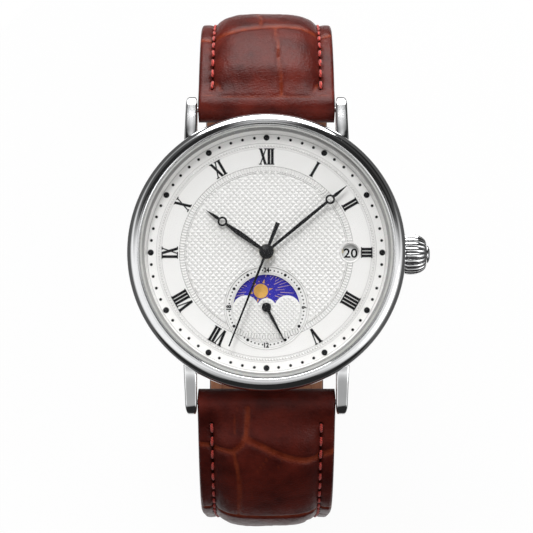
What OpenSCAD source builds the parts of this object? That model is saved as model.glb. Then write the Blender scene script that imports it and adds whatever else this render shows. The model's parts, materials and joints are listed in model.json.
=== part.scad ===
// A dress wristwatch with a 24 hour sub-dial, a sun and moon disc and a date window.
// Frame: +Z out of the dial, +Y to 12 o'clock, +X to the crown; origin on the caseback's flat face.

/* [Case] */
// Outer radius of the bezel
bezel_r = 20; // [19.6:0.1:21]
// Outer radius of the case middle, under the bezel's overhang
case_r = 18.9; // [18.7:0.05:19]
// Radius of the cavity that takes the movement ring and the dial
cavity_r = 17.3; // [17.25:0.05:17.5]
// Height of the case middle's lower face
case_bottom_z = 0.9; // [0.8:0.05:1]
// Height of the case middle's top face, where the bezel sits
case_top_z = 6.0; // [5.95:0.05:6.2]
// Height of the bezel
bezel_h = 2.95; // [2.8:0.05:3.2]
// Radius of the flat back of the caseback
back_flat_r = 14.5; // [12:0.5:15.5]
// Thickness of the caseback
back_t = 0.9; // [0.8:0.05:1]
// Depth of the caseback's lip inside the case
back_lip_h = 0.8; // [0.4:0.1:1]
// Radius of the crystal
crystal_r = 17.8; // [17.75:0.05:17.85]
// Thickness of the crystal at its edge
crystal_edge_t = 1.0; // [0.9:0.05:1.15]
// Rise of the crystal's domed top over its edge
crystal_dome = 0.45; // [0.1:0.05:0.8]
// Radial width of the crystal gasket
crystal_gasket_w = 0.3; // [0.2:0.05:0.35]

/* [Lugs] */
// Gap between the lugs, the strap's trade width
lug_gap = 20; // [19.8:0.1:20.2]
// Width of a lug at its tip
lug_tip_w = 1.6; // [1.4:0.05:1.9]
// Width of a lug at its root
lug_root_w = 1.95; // [1.9:0.05:2.3]
// Distance of the lug tips from the middle
lug_tip_y = 22.8; // [22.5:0.1:23.4]
// Distance of the strap bars from the middle
bar_y = 21.2; // [21.1:0.05:21.4]
// Height of the strap bars
bar_z = 2.4; // [2.3:0.05:2.5]
// Outer radius of a strap bar's tube
bar_tube_r = 0.75; // [0.65:0.05:0.8]
// Radius of a strap bar's sprung tips
bar_tip_r = 0.4; // [0.3:0.05:0.45]
// Depth of the tips' holes in the lugs
bar_hole_depth = 0.9; // [0.7:0.1:1.1]

/* [Crown] */
// Height of the crown's axis
stem_z = 3.4; // [3.35:0.05:3.45]
// Outer radius of the ribbed crown
crown_r = 2.92; // [2.7:0.02:3]
// Distance of the crown's inner face from the middle
crown_x0 = 19.05; // [19.0:0.05:19.3]
// Length of the ribbed part of the crown
crown_len = 3.95; // [3.7:0.05:4.3]
// Number of ribs on the crown
crown_ribs = 20; // [16:1:24]
// Depth of the crown's flutes
flute_depth = 0.3; // [0.1:0.05:0.4]
// Radius of the button on the crown's end
button_r = 1.3; // [1.1:0.05:1.5]
// Height of the button on the crown's end
button_h = 0.6; // [0.4:0.05:0.8]
// Outer radius of the crown tube
tube_r = 1.1; // [1.0:0.05:1.15]
// Radius of the setting stem
stem_r = 0.45; // [0.4:0.05:0.5]
// How far the crown pulls out to set the hands
crown_travel = 1.6; // [1:0.1:1.8]

/* [Dial] */
// Radius of the dial
dial_r = 17.2; // [17.1:0.05:17.24]
// Height of the dial's underside
dial_z = 5.7; // [5.7:0.05:5.75]
// Thickness of the dial
dial_t = 0.4; // [0.3:0.05:0.4]
// Distance of the sub-dial's centre below the dial's centre
sub_y = 7.89; // [7.85:0.01:7.9]
// Outer radius of the sub-dial's rim
sub_r = 5.9; // [5.6:0.05:6]
// Inner radius of the sub-dial's number track
sub_inner_r = 4.93; // [4.85:0.01:5]
// Radius of the sun and moon aperture
aperture_r = 4.76; // [4.4:0.02:4.8]
// Distance of the date window's centre from the middle
date_x = 12; // [11.8:0.05:12.2]
// Radius of the date window
date_r = 1.23; // [1:0.01:1.3]
// Inner radius of the beaded ring
bead_in_r = 15; // [14.9:0.05:15.1]
// Outer radius of the beaded ring
bead_out_r = 15.8; // [15.6:0.05:16]
// Inner radius of the coin edge ring
coin_in_r = 11.7; // [11.5:0.05:11.9]
// Outer radius of the coin edge ring
coin_out_r = 12.5; // [12.3:0.05:12.6]

/* [Hands] */
// Length of the hour hand
hour_len = 10.5; // [9:0.1:11.5]
// Distance of the hour hand's ring from its pivot
hour_ring = 7.7; // [6:0.1:8.5]
// Length of the minute hand
minute_len = 14.95; // [13:0.05:15.2]
// Distance of the minute hand's ring from its pivot
minute_ring = 11.84; // [9:0.1:12.5]
// Length of the seconds hand
second_len = 14.6; // [13:0.1:15.2]
// Length of the seconds hand's tail
second_tail = 4.46; // [3:0.1:5]
// Length of the 24 hour hand
day_len = 5.48; // [4.5:0.02:5.6]
// Outer radius of the hands' rings
hand_ring_r = 0.7; // [0.55:0.05:0.8]
// Radius of the hole in the hands' rings
hand_hole_r = 0.42; // [0.3:0.02:0.46]
// Thickness of the hands
hand_t = 0.15; // [0.12:0.01:0.2]

/* [Movement] */
// Radius of the main plate
plate_r = 14.5; // [14.3:0.05:14.6]
// Height of the main plate's underside
plate_z = 3.2; // [3.2:0.01:3.25]
// Thickness of the main plate
plate_t = 1.0; // [0.95:0.01:1]
// Height of the train bridge's underside
bridge_z = 1.8; // [1.75:0.01:1.8]
// Thickness of the train bridge
bridge_t = 0.4; // [0.35:0.01:0.42]
// Thickness of the wheels
wheel_t = 0.14; // [0.12:0.01:0.16]
// Running clearance round arbors and pipes
run_gap = 0.04; // [0.03:0.01:0.05]
// Radius of the train's arbors
arbor_r = 0.15; // [0.12:0.01:0.16]
// Radius of the battery
battery_r = 4.75; // [4:0.05:4.8]
// Height of the battery
battery_h = 2.0; // [1.6:0.05:2]
// Outer radius of the date ring
date_ring_out = 13.6; // [13.4:0.05:13.7]
// Inner radius of the date ring, at the tips of its teeth
date_ring_in = 10.3; // [10.25:0.05:10.4]

/* [Strap] */
// Clearance between the strap and each lug
strap_side_gap = 0.1; // [0.08:0.01:0.4]
// Width of the strap at the buckle
strap_end_w = 18; // [17:0.1:18.4]
// Length over which the strap tapers
taper_len = 75; // [60:1:90]
// Bend radius of the strap below the lugs
bend_r = 22; // [21:0.5:24]
// Slope of the strap as it leaves the lugs, in degrees
start_slope = 20; // [15:1:25]
// Length of the straight stretch before the buckle
short_run = 24; // [22:0.1:26]
// Length of the long half's upright stretch
long_drop = 16.7; // [16:0.1:20]
// Bend radius where the long half turns to lie flat
foot_bend_r = 20; // [18:0.5:22]
// Length of the long half's flat stretch
foot_run = 40.5; // [38:0.5:44]
// Thickness of the outer leather along its edges
leather_t = 1.5; // [1.2:0.05:1.8]
// Rise of the padding over the edges, near the lugs
pad_rise = 1.7; // [0.5:0.05:2]
// Width of the flat margin beside the padding
margin_w = 2.1; // [1.8:0.1:2.6]
// Thickness of the lining
lining_t = 1.0; // [0.7:0.05:1.1]
// Radius of the rolled end round the strap bar
roll_r = 1.9; // [1.8:0.05:1.95]
// Number of buckle holes
hole_count = 7; // [3:1:8]
// Pitch of the buckle holes
hole_pitch = 6.5; // [5.5:0.1:7]
// Distance of the last buckle hole from the tip
hole_tip = 24; // [20:0.5:28]
// Radius of the buckle holes
hole_r = 1.0; // [0.8:0.05:1.1]

/* [Buckle] */
// Thickness of the buckle's wire
buckle_wire = 1.8; // [1.5:0.05:2.1]
// Length of the buckle from its bar to its front
buckle_len = 8.2; // [7.5:0.1:9]
// Width of the buckle's tongue
tongue_w = 2.2; // [1.8:0.1:2.4]
// Width of a keeper along the strap
keeper_w = 4.2; // [3.5:0.1:5]
// Wall of a keeper
keeper_t = 1.1; // [0.9:0.05:1.3]
// Room under a keeper for the tail of the long half
keeper_room = 3.2; // [3:0.1:3.6]
// Clearance between a keeper and the strap
keeper_gap = 0.15; // [0.1:0.01:0.2]

/* [Hidden] */
$fn = 48;
eps = 0.01;
fit = 0.01;

steel = "gainsboro";
brass = "khaki";
ink = "black";
hide = "maroon";
hide_back = "saddlebrown";

// The case's seats
case_waist = 0.45;
neck_in = 17.9;
neck_out = 18.3;
neck_h = 0.4;
neck_gap = 0.02;
back_flange_r = 17.9;
back_edge_z = 0.55;
seal_r = 0.18;
lip_out = cavity_r - 2 * seal_r - 2 * neck_gap;
lip_w = 0.6;
dial_top = dial_z + dial_t;
rehaut_r = dial_r - 0.1;
rehaut_h = 2.0;
crystal_z = case_top_z + rehaut_h;
ledge_r = crystal_r - 0.35;
crystal_bore = crystal_r + crystal_gasket_w;
bezel_top = case_top_z + bezel_h;

// The lugs, from the case wall to the tip, and the strap's width between them
lug_in = lug_gap / 2;
strap_w = lug_gap - 2 * strap_side_gap;
lug_from_y = 14.0;
lug_back_top = 5.9;
lug_tip_top = 3.6;
lug_tip_bottom = 0.45;
lug_bevel = 0.28;
bar_tube_len = strap_w - 0.1;
bar_tip_in = 3;

// The crown and the stem
crown_x1 = crown_x0 + crown_len;
crown_base_r = 2.05;
crown_end_r = button_r + 0.25;
crown_recess_r = tube_r + 0.12;
tube_bore = tube_r - 0.24;
tube_end_x = crown_x0 + 0.75;
post_r = tube_bore - run_gap;
post_in_x = cavity_r + 0.2;
stem_end_x = crown_x0 + 1.6;
stem_groove_x = 12.4;
stem_groove_w = 0.5;
stem_groove_r = stem_r - 0.2;
stem_square = 0.6;
stem_square_x = 8;
stem_pivot_r = 0.2;
stem_pivot_x = 6.5;
pinion_x = 8.6;
pinion_len = 1.6;
lever_t = 0.2;
lever_arm = 3;
lever_post_r = 0.14;
lever_pin_r = 0.3;
lever_boss_r = 0.55;
lever_half = asin(crown_travel / 2 / lever_arm);
lever_post_y = stem_groove_r + lever_post_r + 0.02 + lever_arm * (1 - cos(lever_half));
lever_post = [stem_groove_x + stem_groove_w / 2, lever_post_y];
lever_at = lever_post + [crown_travel / 2, lever_arm * cos(lever_half)];
keyless_room = lever_t + 0.12;

// The movement's levels, from the back to the dial
bridge_top = bridge_z + bridge_t;
plate_top = plate_z + plate_t;
seconds_z = bridge_top + 0.18;
third_z = seconds_z + wheel_t + 0.14;
centre_z = third_z + wheel_t + 0.14;
cannon_z = plate_top + 0.05;
cannon_h = 0.5;
minute_z = plate_top + 0.2;
hour_z = minute_z + 0.55;
gear_z = hour_z + wheel_t + 0.11;
disc_z = gear_z + wheel_t + 0.09;
date_z = plate_top + 0.7;
date_t = 0.22;
day_z = dial_top + 0.18;
day_arbor_r = 0.25;
hour_hand_z = day_z + hand_t + 0.2;
minute_hand_z = hour_hand_z + hand_t + 0.28;
second_hand_z = minute_hand_z + hand_t + 0.28;

// The pipes round the centre arbor
pipe_in = arbor_r + run_gap;
pipe_out = 0.38;
hour_pipe_in = pipe_out + run_gap + 0.01;
hour_pipe_out = 0.7;

// Gears: tooth counts, modules and centres
centre_teeth = 60;
third_leaves = 8;
centre_module = 0.1;
third_r = (centre_teeth + third_leaves) * centre_module / 2;
third_teeth = 64;
second_leaves = 8;
third_module = 2 * third_r / (third_teeth + second_leaves);
third_dir = 225;
seconds_teeth = 60;
step_leaves = 12;
seconds_module = 0.093;
step_r = (seconds_teeth + step_leaves) * seconds_module / 2;
step_dir = 0;
step_teeth = 36;
rotor_leaves = 6;
step_module = 0.1;
rotor_off = (step_teeth + rotor_leaves) * step_module / 2;
rotor_dir = -50;
third_at = third_r * [cos(third_dir), sin(third_dir)];
step_at = step_r * [cos(step_dir), sin(step_dir)];
rotor_at = step_at + rotor_off * [cos(rotor_dir), sin(rotor_dir)];
rotor_magnet_r = 0.75;

cannon_leaves = 12;
minute_teeth = 36;
cannon_module = 0.12;
minute_off = (cannon_leaves + minute_teeth) * cannon_module / 2;
minute_leaves = 10;
hour_teeth = 40;
hour_module = 2 * minute_off / (minute_leaves + hour_teeth);
minute_dir = 40;
minute_at = minute_off * [cos(minute_dir), sin(minute_dir)];
day_teeth = 48;
day_idler_teeth = 40;
day_gear_teeth = 24;
day_module = 2 * sub_y / (day_gear_teeth + 2 * day_idler_teeth + day_teeth);
idler_y = (day_gear_teeth + day_idler_teeth) * day_module / 2;
idler_at = [0, -idler_y];
day_at = [0, -sub_y];
date_drive_dir = 25;
date_drive_at = day_at + day_teeth * day_module * [cos(date_drive_dir), sin(date_drive_dir)];
date_teeth = 31;
date_tooth_h = 0.75;
date_finger = date_ring_in + 0.35 - norm(date_drive_at);
jumper_dir = 120;

// Positions in the quartz movement
battery_at = [-6.5, 6.5];
battery_z = case_bottom_z + 0.28;
post_at = [[0.6, 3.9], [0.6, -5.6], [-4.3, 0.9]];
post_w = 0.6;
screw_r = 0.3;
coil_r = 1.0;
coil_from = [2.0, -8.8];
coil_len = 7.4;
coil_tab = 0.8;
stator_z = bridge_top + 0.05;
stator_t = 0.25;

// The strap's path in steps of length and bend, in degrees a millimetre
degree_mm = 180 / PI;
upper_bend = (90 - start_slope) * bend_r / degree_mm;
under_bend_r = 17;
under_bend = 90 * under_bend_r / degree_mm;
short_path = [[upper_bend, degree_mm / bend_r], [under_bend, degree_mm / under_bend_r], [200, 0]];
short_len = upper_bend + under_bend + short_run;
foot_bend = 90 * foot_bend_r / degree_mm;
long_path = [
  [upper_bend, degree_mm / bend_r], [long_drop, 0], [foot_bend, degree_mm / foot_bend_r], [200, 0]
];
long_len = upper_bend + long_drop + foot_bend + foot_run;
strap_start = [bar_y, bar_z, start_slope];
inner_v = 0.6;
edge_v = leather_t - inner_v;
lining_from = 3.4;
lining_gap = 0.02;
buckle_roll = 1.5;
buckle_bar_r = 0.75;
bar_bore_gap = 0.05;
slot_w = tongue_w + 0.6;
slot_len = 4;
buckle_in = strap_end_w / 2 + 0.15;
buckle_out = buckle_in + buckle_wire;
lining_end = slot_len + 1.2;
plain_end = 12;
keeper_end = 5.4;
keeper_slide = 4.5;
fixed_keeper_s = short_len - keeper_end - keeper_w / 2;
free_keeper_s = fixed_keeper_s - keeper_w - keeper_slide - 2 * keeper_gap;
tip_len = 10;

function flat(v) = [for (a = v) each a];
function polar(r, a) = [r * cos(a), r * sin(a)];
function ease(t) = let (c = min(max(t, 0), 1)) c * c * (3 - 2 * c);

// A closed skin through rings of equally many points, each ring turning left round the travel
module loft(rings) {
  n = len(rings[0]);
  m = len(rings);
  first = [for (j = [0:n - 1]) j];
  last = [for (j = [n - 1:-1:0]) (m - 1) * n + j];
  sides = [for (i = [0:m - 2], j = [0:n - 1]) each
    let (a = i * n + j, b = i * n + (j + 1) % n, c = a + n, d = b + n) [[a, c, d], [a, d, b]]];
  polyhedron(flat(rings), concat([first, last], sides));
}

// A tube or a disc about Z
module ring(outer, inner, height) {
  difference() {
    cylinder(r = outer, h = height);
    if (inner > 0) translate([0, 0, -eps]) cylinder(r = inner, h = height + 2 * eps);
  }
}

// A flat bar with round ends from point p to point q
module bar2d(p, q, w) {
  d = q - p;
  translate(p) rotate(atan2(d[1], d[0])) translate([0, -w / 2 + eps]) square([norm(d), w - 2 * eps]);
  for (at = [p, q]) translate(at) circle(r = w / 2);
}

// A toothed wheel's outline with a tooth at angle 0
module gear2d(teeth, size) {
  pitch = 360 / teeth;
  root = teeth * size / 2 - 1.15 * size;
  tip = teeth * size / 2 + 0.85 * size;
  polygon([for (i = [0:teeth - 1]) each [
    polar(root, (i - 0.27) * pitch), polar(tip, (i - 0.1) * pitch),
    polar(tip, (i + 0.1) * pitch), polar(root, (i + 0.27) * pitch)]]);
}

// The turn that puts a second wheel's gap on the first wheel's tooth; dir points from first to second
function mesh(dir, turn, teeth, next) = dir + 180 + ((dir - turn) * teeth / 360 - 0.5) * 360 / next;

// A spoked train wheel with its bore
module wheel(teeth, size, height, bore, spokes = 4, turn = 0) {
  rim = teeth * size / 2 - 1.15 * size - 0.25;
  hub = max(bore + 0.25, rim * 0.28);
  rotate(turn) linear_extrude(height) difference() {
    gear2d(teeth, size);
    if (bore > 0) circle(r = bore);
    if (spokes > 0) difference() {
      circle(r = rim);
      circle(r = hub);
      for (i = [0:spokes - 1]) rotate(i * 360 / spokes) translate([0, -0.16]) square([rim + 1, 0.32]);
    }
  }
}

module pinion(teeth, size, height, turn = 0) {
  rotate(turn) linear_extrude(height) gear2d(teeth, size);
}

// Case

// Rings of one lug's skin, from the root inside the case wall to the rounded tip
function lug_ring(t) = let (
    y = lug_from_y + t * (lug_tip_y - lug_from_y),
    fall = ease((t - 0.25) / 0.9),
    close = t < 0.86 ? 0 : 1 - sqrt(1 - pow((t - 0.86) / 0.14, 2) * 0.96),
    high = lug_back_top + (lug_tip_top - lug_back_top) * fall - close * 1.1,
    low = case_bottom_z + 0.2 + (lug_tip_bottom - case_bottom_z - 0.2) * ease(t / 0.8) + close * 1.1,
    out = lug_in + lug_root_w + (lug_tip_w - lug_root_w) * t - close * 0.45,
    in = lug_in + close * 0.35,
    c = lug_bevel
  ) [
    [in, y, low], [in, y, high - c], [in + c, y, high], [out - c, y, high], [out, y, high - c],
    [out, y, low + c], [out - c, y, low]
  ];

module lug() {
  loft([for (t = [0, 0.2, 0.35, 0.5, 0.62, 0.74, 0.86, 0.93, 0.98, 1]) lug_ring(t)]);
}

module case_middle() {
  steps = 6;
  wall = [for (i = [0:steps]) let (t = i / steps, z = case_bottom_z + t * (case_top_z - case_bottom_z))
    [case_r - case_waist * pow(2 * t - 1, 2), z]];
  color(steel) difference() {
    union() {
      rotate_extrude() polygon(concat([[cavity_r - 1, case_bottom_z]], wall, [
        [neck_out, case_top_z], [neck_out, case_top_z + neck_h], [neck_in, case_top_z + neck_h],
        [neck_in, case_top_z], [cavity_r - 1, case_top_z]]));
      for (sx = [0, 1], sy = [0, 1]) mirror([sx, 0, 0]) mirror([0, sy, 0]) lug();
    }
    cylinder(r = cavity_r, h = case_top_z + 1);
    translate([0, 0, stem_z]) rotate([0, 90, 0]) cylinder(r = tube_r + fit, h = case_r + 1);
    for (side = [-1, 1]) translate([-lug_in - bar_hole_depth, side * bar_y, bar_z]) rotate([0, 90, 0])
      cylinder(r = bar_tip_r + run_gap, h = 2 * (lug_in + bar_hole_depth));
  }
}

module bezel() {
  arc_steps = 5;
  skirt_r = bezel_r - 0.45;
  shoulder = [for (i = [0:arc_steps]) let (a = -90 + i * 130 / arc_steps)
    [skirt_r + 0.45 * cos(a), case_top_z + 0.75 + 0.75 * sin(a)]];
  crown_face = [for (i = [0:4]) let (t = i / 4)
    [bezel_r - 0.25 - t * 1.2, case_top_z + 1.65 + (bezel_h - 1.7) * sin(90 * t)]];
  color(steel) rotate_extrude() polygon(concat([
      [rehaut_r, dial_top], [cavity_r + 0.05, dial_top], [cavity_r + 0.05, case_top_z],
      [neck_in - neck_gap, case_top_z], [neck_in - neck_gap, case_top_z + neck_h + neck_gap],
      [neck_out + neck_gap, case_top_z + neck_h + neck_gap], [neck_out + neck_gap, case_top_z]],
    shoulder, crown_face, [
      [crystal_bore + 0.3, bezel_top], [crystal_bore, bezel_top - 0.3], [crystal_bore, crystal_z],
      [ledge_r, crystal_z]]));
}

module crystal() {
  bevel = 0.15;
  top = crystal_z + crystal_edge_t;
  steps = 8;
  flat_r = crystal_r - bevel;
  dome = [for (i = [0:steps]) let (r = flat_r * (1 - i / steps))
    [r, top + crystal_dome * (1 - pow(r / flat_r, 2))]];
  color("lightcyan", 0.3) rotate_extrude() polygon(concat(
    [[0, crystal_z], [crystal_r, crystal_z], [crystal_r, top - bevel]], dome));
}

module crystal_gasket() {
  color("whitesmoke") translate([0, 0, crystal_z])
    ring(crystal_bore - fit, crystal_r + fit, bezel_top - 0.35 - crystal_z);
}

module caseback() {
  color(steel) difference() {
    rotate_extrude() polygon([
      [0, 0], [back_flat_r, 0], [back_flange_r - 0.3, back_edge_z], [back_flange_r, back_t],
      [lip_out, back_t], [lip_out, back_t + back_lip_h], [lip_out - lip_w, back_t + back_lip_h],
      [lip_out - lip_w, back_t], [0, back_t]]);
    for (i = [0:5]) rotate(i * 60) translate([back_flat_r + 1.1, 0, -eps]) cylinder(r = 0.7, h = 0.45);
  }
}

module caseback_gasket() {
  color("dimgray") translate([0, 0, back_t + seal_r]) rotate_extrude()
    translate([lip_out + seal_r + neck_gap, 0]) circle(r = seal_r, $fn = 24);
}

module crown_tube() {
  color(steel) translate([cavity_r, 0, stem_z]) rotate([0, 90, 0]) ring(tube_r, tube_bore, tube_end_x - cavity_r);
}

// Dial

module aperture2d() {
  hump_x = 2.98;
  hump_r = 1.85;
  hub_r = 1.35;
  difference() {
    circle(r = aperture_r);
    translate([-aperture_r - 1, -2 * aperture_r]) square([2 * aperture_r + 2, 2 * aperture_r]);
    for (side = [-1, 1]) translate([side * hump_x, -0.1]) circle(r = hump_r);
    circle(r = hub_r);
  }
}

module dial() {
  step = 0.06;
  sub_depth = 0.12;
  color("ivory") difference() {
    translate([0, 0, dial_z]) rotate_extrude() polygon([
      [hour_pipe_out + 0.15, 0], [dial_r, 0], [dial_r, dial_t], [bead_out_r, dial_t],
      [bead_out_r, dial_t - step], [bead_in_r, dial_t - step], [bead_in_r, dial_t],
      [coin_out_r, dial_t], [coin_out_r, dial_t - step], [coin_in_r, dial_t - step],
      [coin_in_r, dial_t - step / 2], [hour_pipe_out + 0.15, dial_t - step / 2]]);
    translate([0, -sub_y, dial_top - sub_depth]) difference() {
      cylinder(r = sub_r, h = 1);
      translate([0, 0, -eps]) ring(sub_inner_r + 0.1, sub_inner_r, sub_depth / 2);
    }
    translate([0, -sub_y, dial_z - 1]) linear_extrude(3) aperture2d();
    translate([0, -sub_y, dial_z - 1]) cylinder(r = 0.25 + run_gap + 0.04, h = 3);
    translate([date_x, 0, dial_z - 1]) cylinder(r = date_r, h = 3);
    translate([date_x, 0, dial_top - 0.15]) cylinder(r1 = date_r, r2 = date_r + 0.2, h = 0.16);
  }
}

// An outline about +Y from [height, half width] pairs
module blade2d(sides) {
  polygon(concat([for (p = sides) [p[1], p[0]]],
    [for (i = [len(sides) - 1:-1:0]) [-sides[i][1], sides[i][0]]]));
}

// A ringed hand along +Y: hub, stem with a belly, ring and a slim leaf as its tip
module ring_hand(length, at, hub, root, belly, bore) {
  neck = 0.19;
  leaf = 0.25;
  ring_end = at + hand_ring_r * 0.85;
  linear_extrude(hand_t) difference() {
    union() {
      circle(r = hub);
      blade2d([[0, root], [hub, root], [at * 0.62, belly], [at - hand_ring_r * 0.9, neck]]);
      translate([0, at]) circle(r = hand_ring_r);
      blade2d([[ring_end, neck], [ring_end + 0.5, leaf], [length, 0.03]]);
    }
    translate([0, at]) circle(r = hand_hole_r);
    circle(r = bore);
  }
}

module hour_hand() {
  color(ink) translate([0, 0, hour_hand_z]) rotate(-304.9)
    ring_hand(hour_len, hour_ring, hour_pipe_out + 0.3, 0.24, 0.37, hour_pipe_out);
}

module minute_hand() {
  color(ink) translate([0, 0, minute_hand_z]) rotate(-50.4)
    ring_hand(minute_len, minute_ring, 0.95, 0.2, 0.26, pipe_out);
}

module second_hand() {
  color(ink) translate([0, 0, second_hand_z]) rotate(-201.5) {
    linear_extrude(hand_t) difference() {
      union() {
        circle(r = 1.0);
        blade2d([[-second_tail, 0.32], [0, 0.19], [second_len, 0.11]]);
      }
      circle(r = arbor_r);
    }
    translate([0, 0, hand_t]) cylinder(r = 0.6, h = 0.12);
  }
}

module day_hand() {
  color(ink) translate([0, -sub_y, day_z]) rotate(-152.1) linear_extrude(hand_t) difference() {
    union() {
      circle(r = 0.67);
      blade2d([[0, 0.19], [day_len * 0.35, 0.22], [day_len, 0.06]]);
    }
    circle(r = day_arbor_r);
  }
}

// Movement

module movement_ring() {
  foot = back_t + back_lip_h + 0.1;
  color("whitesmoke") difference() {
    translate([0, 0, foot]) ring(dial_r, plate_r + 0.1, dial_z - foot);
    translate([0, 0, stem_z]) rotate([0, 90, 0]) cylinder(r = stem_r + 0.25, h = case_r);
    for (i = [0:5]) rotate(30 + i * 60) translate([(plate_r + dial_r) / 2, 0, foot - eps])
      cylinder(r = 0.8, h = 1.5);
  }
}

module arbor_hole(at, r = arbor_r) {
  translate([at[0], at[1], plate_z - 1]) cylinder(r = r + run_gap, h = plate_t + 2, $fn = 24);
}

module main_plate() {
  block_w = 2.6;
  block_x0 = 5.8;
  block_z = stem_z - 0.75;
  color(brass) difference() {
    union() {
      translate([0, 0, plate_z]) cylinder(r = plate_r, h = plate_t);
      intersection() {
        translate([block_x0, -block_w / 2, block_z]) cube([plate_r, block_w, plate_z - block_z + 0.1]);
        cylinder(r = plate_r, h = 9);
      }
      for (at = post_at) translate([at[0], at[1], bridge_top]) cylinder(r = post_w, h = 1.2);
      translate([0, -idler_y, plate_top - eps]) cylinder(r = 0.3, h = gear_z + wheel_t + 0.05 - plate_top);
      translate([minute_at[0], minute_at[1], plate_top - eps]) cylinder(r = 0.22, h = hour_z - plate_top - 0.02);
      translate([date_drive_at[0], date_drive_at[1], plate_top - eps])
        cylinder(r = 0.3, h = gear_z + wheel_t + 0.05 - plate_top);
      translate([lever_at[0], lever_at[1], plate_top - eps]) cylinder(r = lever_pin_r, h = lever_t + 0.08);
    }
    arbor_hole([0, 0], pipe_out);
    arbor_hole(third_at);
    arbor_hole(rotor_at);
    arbor_hole(step_at);
    arbor_hole(day_at, day_arbor_r);
    for (at = post_at) translate([at[0], at[1], bridge_top - eps]) cylinder(r = screw_r + fit, h = 1.5, $fn = 24);
    translate([pinion_x - 0.3, -0.95, block_z - 1]) cube([pinion_len + 0.6, 1.9, 4]);
    translate([stem_groove_x - 0.6, -0.95, stem_z]) cube([crown_travel + 2.0, 1.9, 4]);
    translate([stem_pivot_x - 1, 0, stem_z]) rotate([0, 90, 0]) cylinder(r = stem_pivot_r + run_gap, h = 4);
    translate([stem_square_x - 0.2, 0, stem_z]) rotate([0, 90, 0]) cylinder(r = stem_r + run_gap, h = plate_r);
  }
}

module date_plate() {
  inner = date_ring_in - 0.4;
  color(brass) translate([0, 0, plate_top]) difference() {
    union() {
      ring(plate_r - 0.1, inner, date_z - 0.05 - plate_top);
      ring(plate_r - 0.1, date_ring_out + 0.1, dial_z - 0.02 - plate_top);
    }
    translate([6.5, -2.6, -eps]) cube([8.5, 8.6, keyless_room]);
  }
}

module train_bridge() {
  color(brass) translate([0, 0, bridge_z]) linear_extrude(bridge_t) difference() {
    union() {
      translate([0.6, -0.9]) circle(r = 5.1);
      for (at = post_at) translate(at) circle(r = 0.95);
      translate(rotor_at) circle(r = 1.1);
    }
    for (at = post_at) translate(at) circle(r = screw_r + fit);
    for (at = [[0, 0], third_at, step_at, rotor_at]) translate(at) circle(r = arbor_r * 0.7 + run_gap);
  }
}

module bridge_screws() {
  color("silver") for (at = post_at) translate([at[0], at[1], bridge_z]) {
    cylinder(r = screw_r, h = bridge_t + 1.3, $fn = 24);
    difference() {
      translate([0, 0, -0.3]) cylinder(r = 0.65, h = 0.3, $fn = 24);
      translate([-1, -0.08, -0.4]) cube([2, 0.16, 0.25]);
    }
  }
}

module circuit_board() {
  inner = 6.9;
  outer = plate_r - 0.4;
  from = 172;
  to = 258;
  steps = 12;
  function edge(i) = from + (to - from) * i / steps;
  color("darkgreen") translate([0, 0, plate_z - 0.22]) linear_extrude(0.2) polygon(concat(
    [for (i = [0:steps]) polar(outer, edge(i))], [for (i = [steps:-1:0]) polar(inner, edge(i))]));
  color("dimgray") translate([-6.6, -9.6, plate_z - 1.02]) cube([2.2, 2.2, 0.8]);
}

module battery() {
  color("silver") translate([battery_at[0], battery_at[1], battery_z]) rotate_extrude() polygon([
    [0, 0], [battery_r - 0.15, 0], [battery_r, 0.15], [battery_r, battery_h - 0.5],
    [battery_r - 0.45, battery_h - 0.35], [battery_r - 0.45, battery_h], [0, battery_h]]);
}

module battery_strap() {
  w = 1.8;
  foot_r = 0.6;
  far = [battery_at[0] - 3.2, battery_at[1] - 6.2];
  color(brass) {
    translate([0, 0, battery_z - 0.17]) linear_extrude(0.15) bar2d(battery_at, far, w);
    translate([far[0], far[1], battery_z - 0.1])
      cylinder(r = foot_r, h = plate_z - 0.24 - battery_z + 0.1);
  }
}

module quartz_crystal() {
  can_r = 0.75;
  color("silver") translate([-10.6, -3.2, plate_z - 0.24 - can_r]) rotate([90, 0, 20]) {
    cylinder(r = can_r, h = 4.6);
    translate([0, 0, -0.3]) cylinder(r1 = can_r - 0.25, r2 = can_r, h = 0.3);
  }
}

module coil() {
  flange = 0.3;
  tab_t = 0.3;
  color("peru") {
    translate([coil_from[0], coil_from[1], plate_z - coil_r - 0.05]) rotate([0, 90, 0])
      rotate_extrude() polygon([
        [0, 0], [coil_r, 0], [coil_r, flange], [coil_r - 0.08, flange],
        [coil_r - 0.08, coil_len - flange], [coil_r, coil_len - flange], [coil_r, coil_len], [0, coil_len]]);
    translate([coil_from[0] - coil_tab, coil_from[1] - 0.5, stator_z - tab_t])
      cube([coil_len + 2 * coil_tab, 1, tab_t]);
  }
}

module stator() {
  hole = rotor_magnet_r + 0.1;
  arm_w = 1.1;
  foot_w = coil_tab - 0.1;
  left = [coil_from[0] - coil_tab / 2, coil_from[1] + 1.5];
  right = [coil_from[0] + coil_len + coil_tab / 2, coil_from[1] + 1.5];
  color("silver") translate([0, 0, stator_z]) linear_extrude(stator_t) difference() {
    union() {
      translate(rotor_at) circle(r = hole + 0.5);
      bar2d(rotor_at + [-0.4, -0.9], left, arm_w);
      bar2d(rotor_at + [0.5, -0.8], right, arm_w);
      bar2d(left, [left[0], coil_from[1]], foot_w);
      bar2d(right, [right[0], coil_from[1]], foot_w);
    }
    translate(rotor_at) circle(r = hole);
  }
}

module centre_wheel() {
  color(brass) translate([0, 0, centre_z]) wheel(centre_teeth, centre_module, wheel_t, pipe_out + fit);
}

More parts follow.
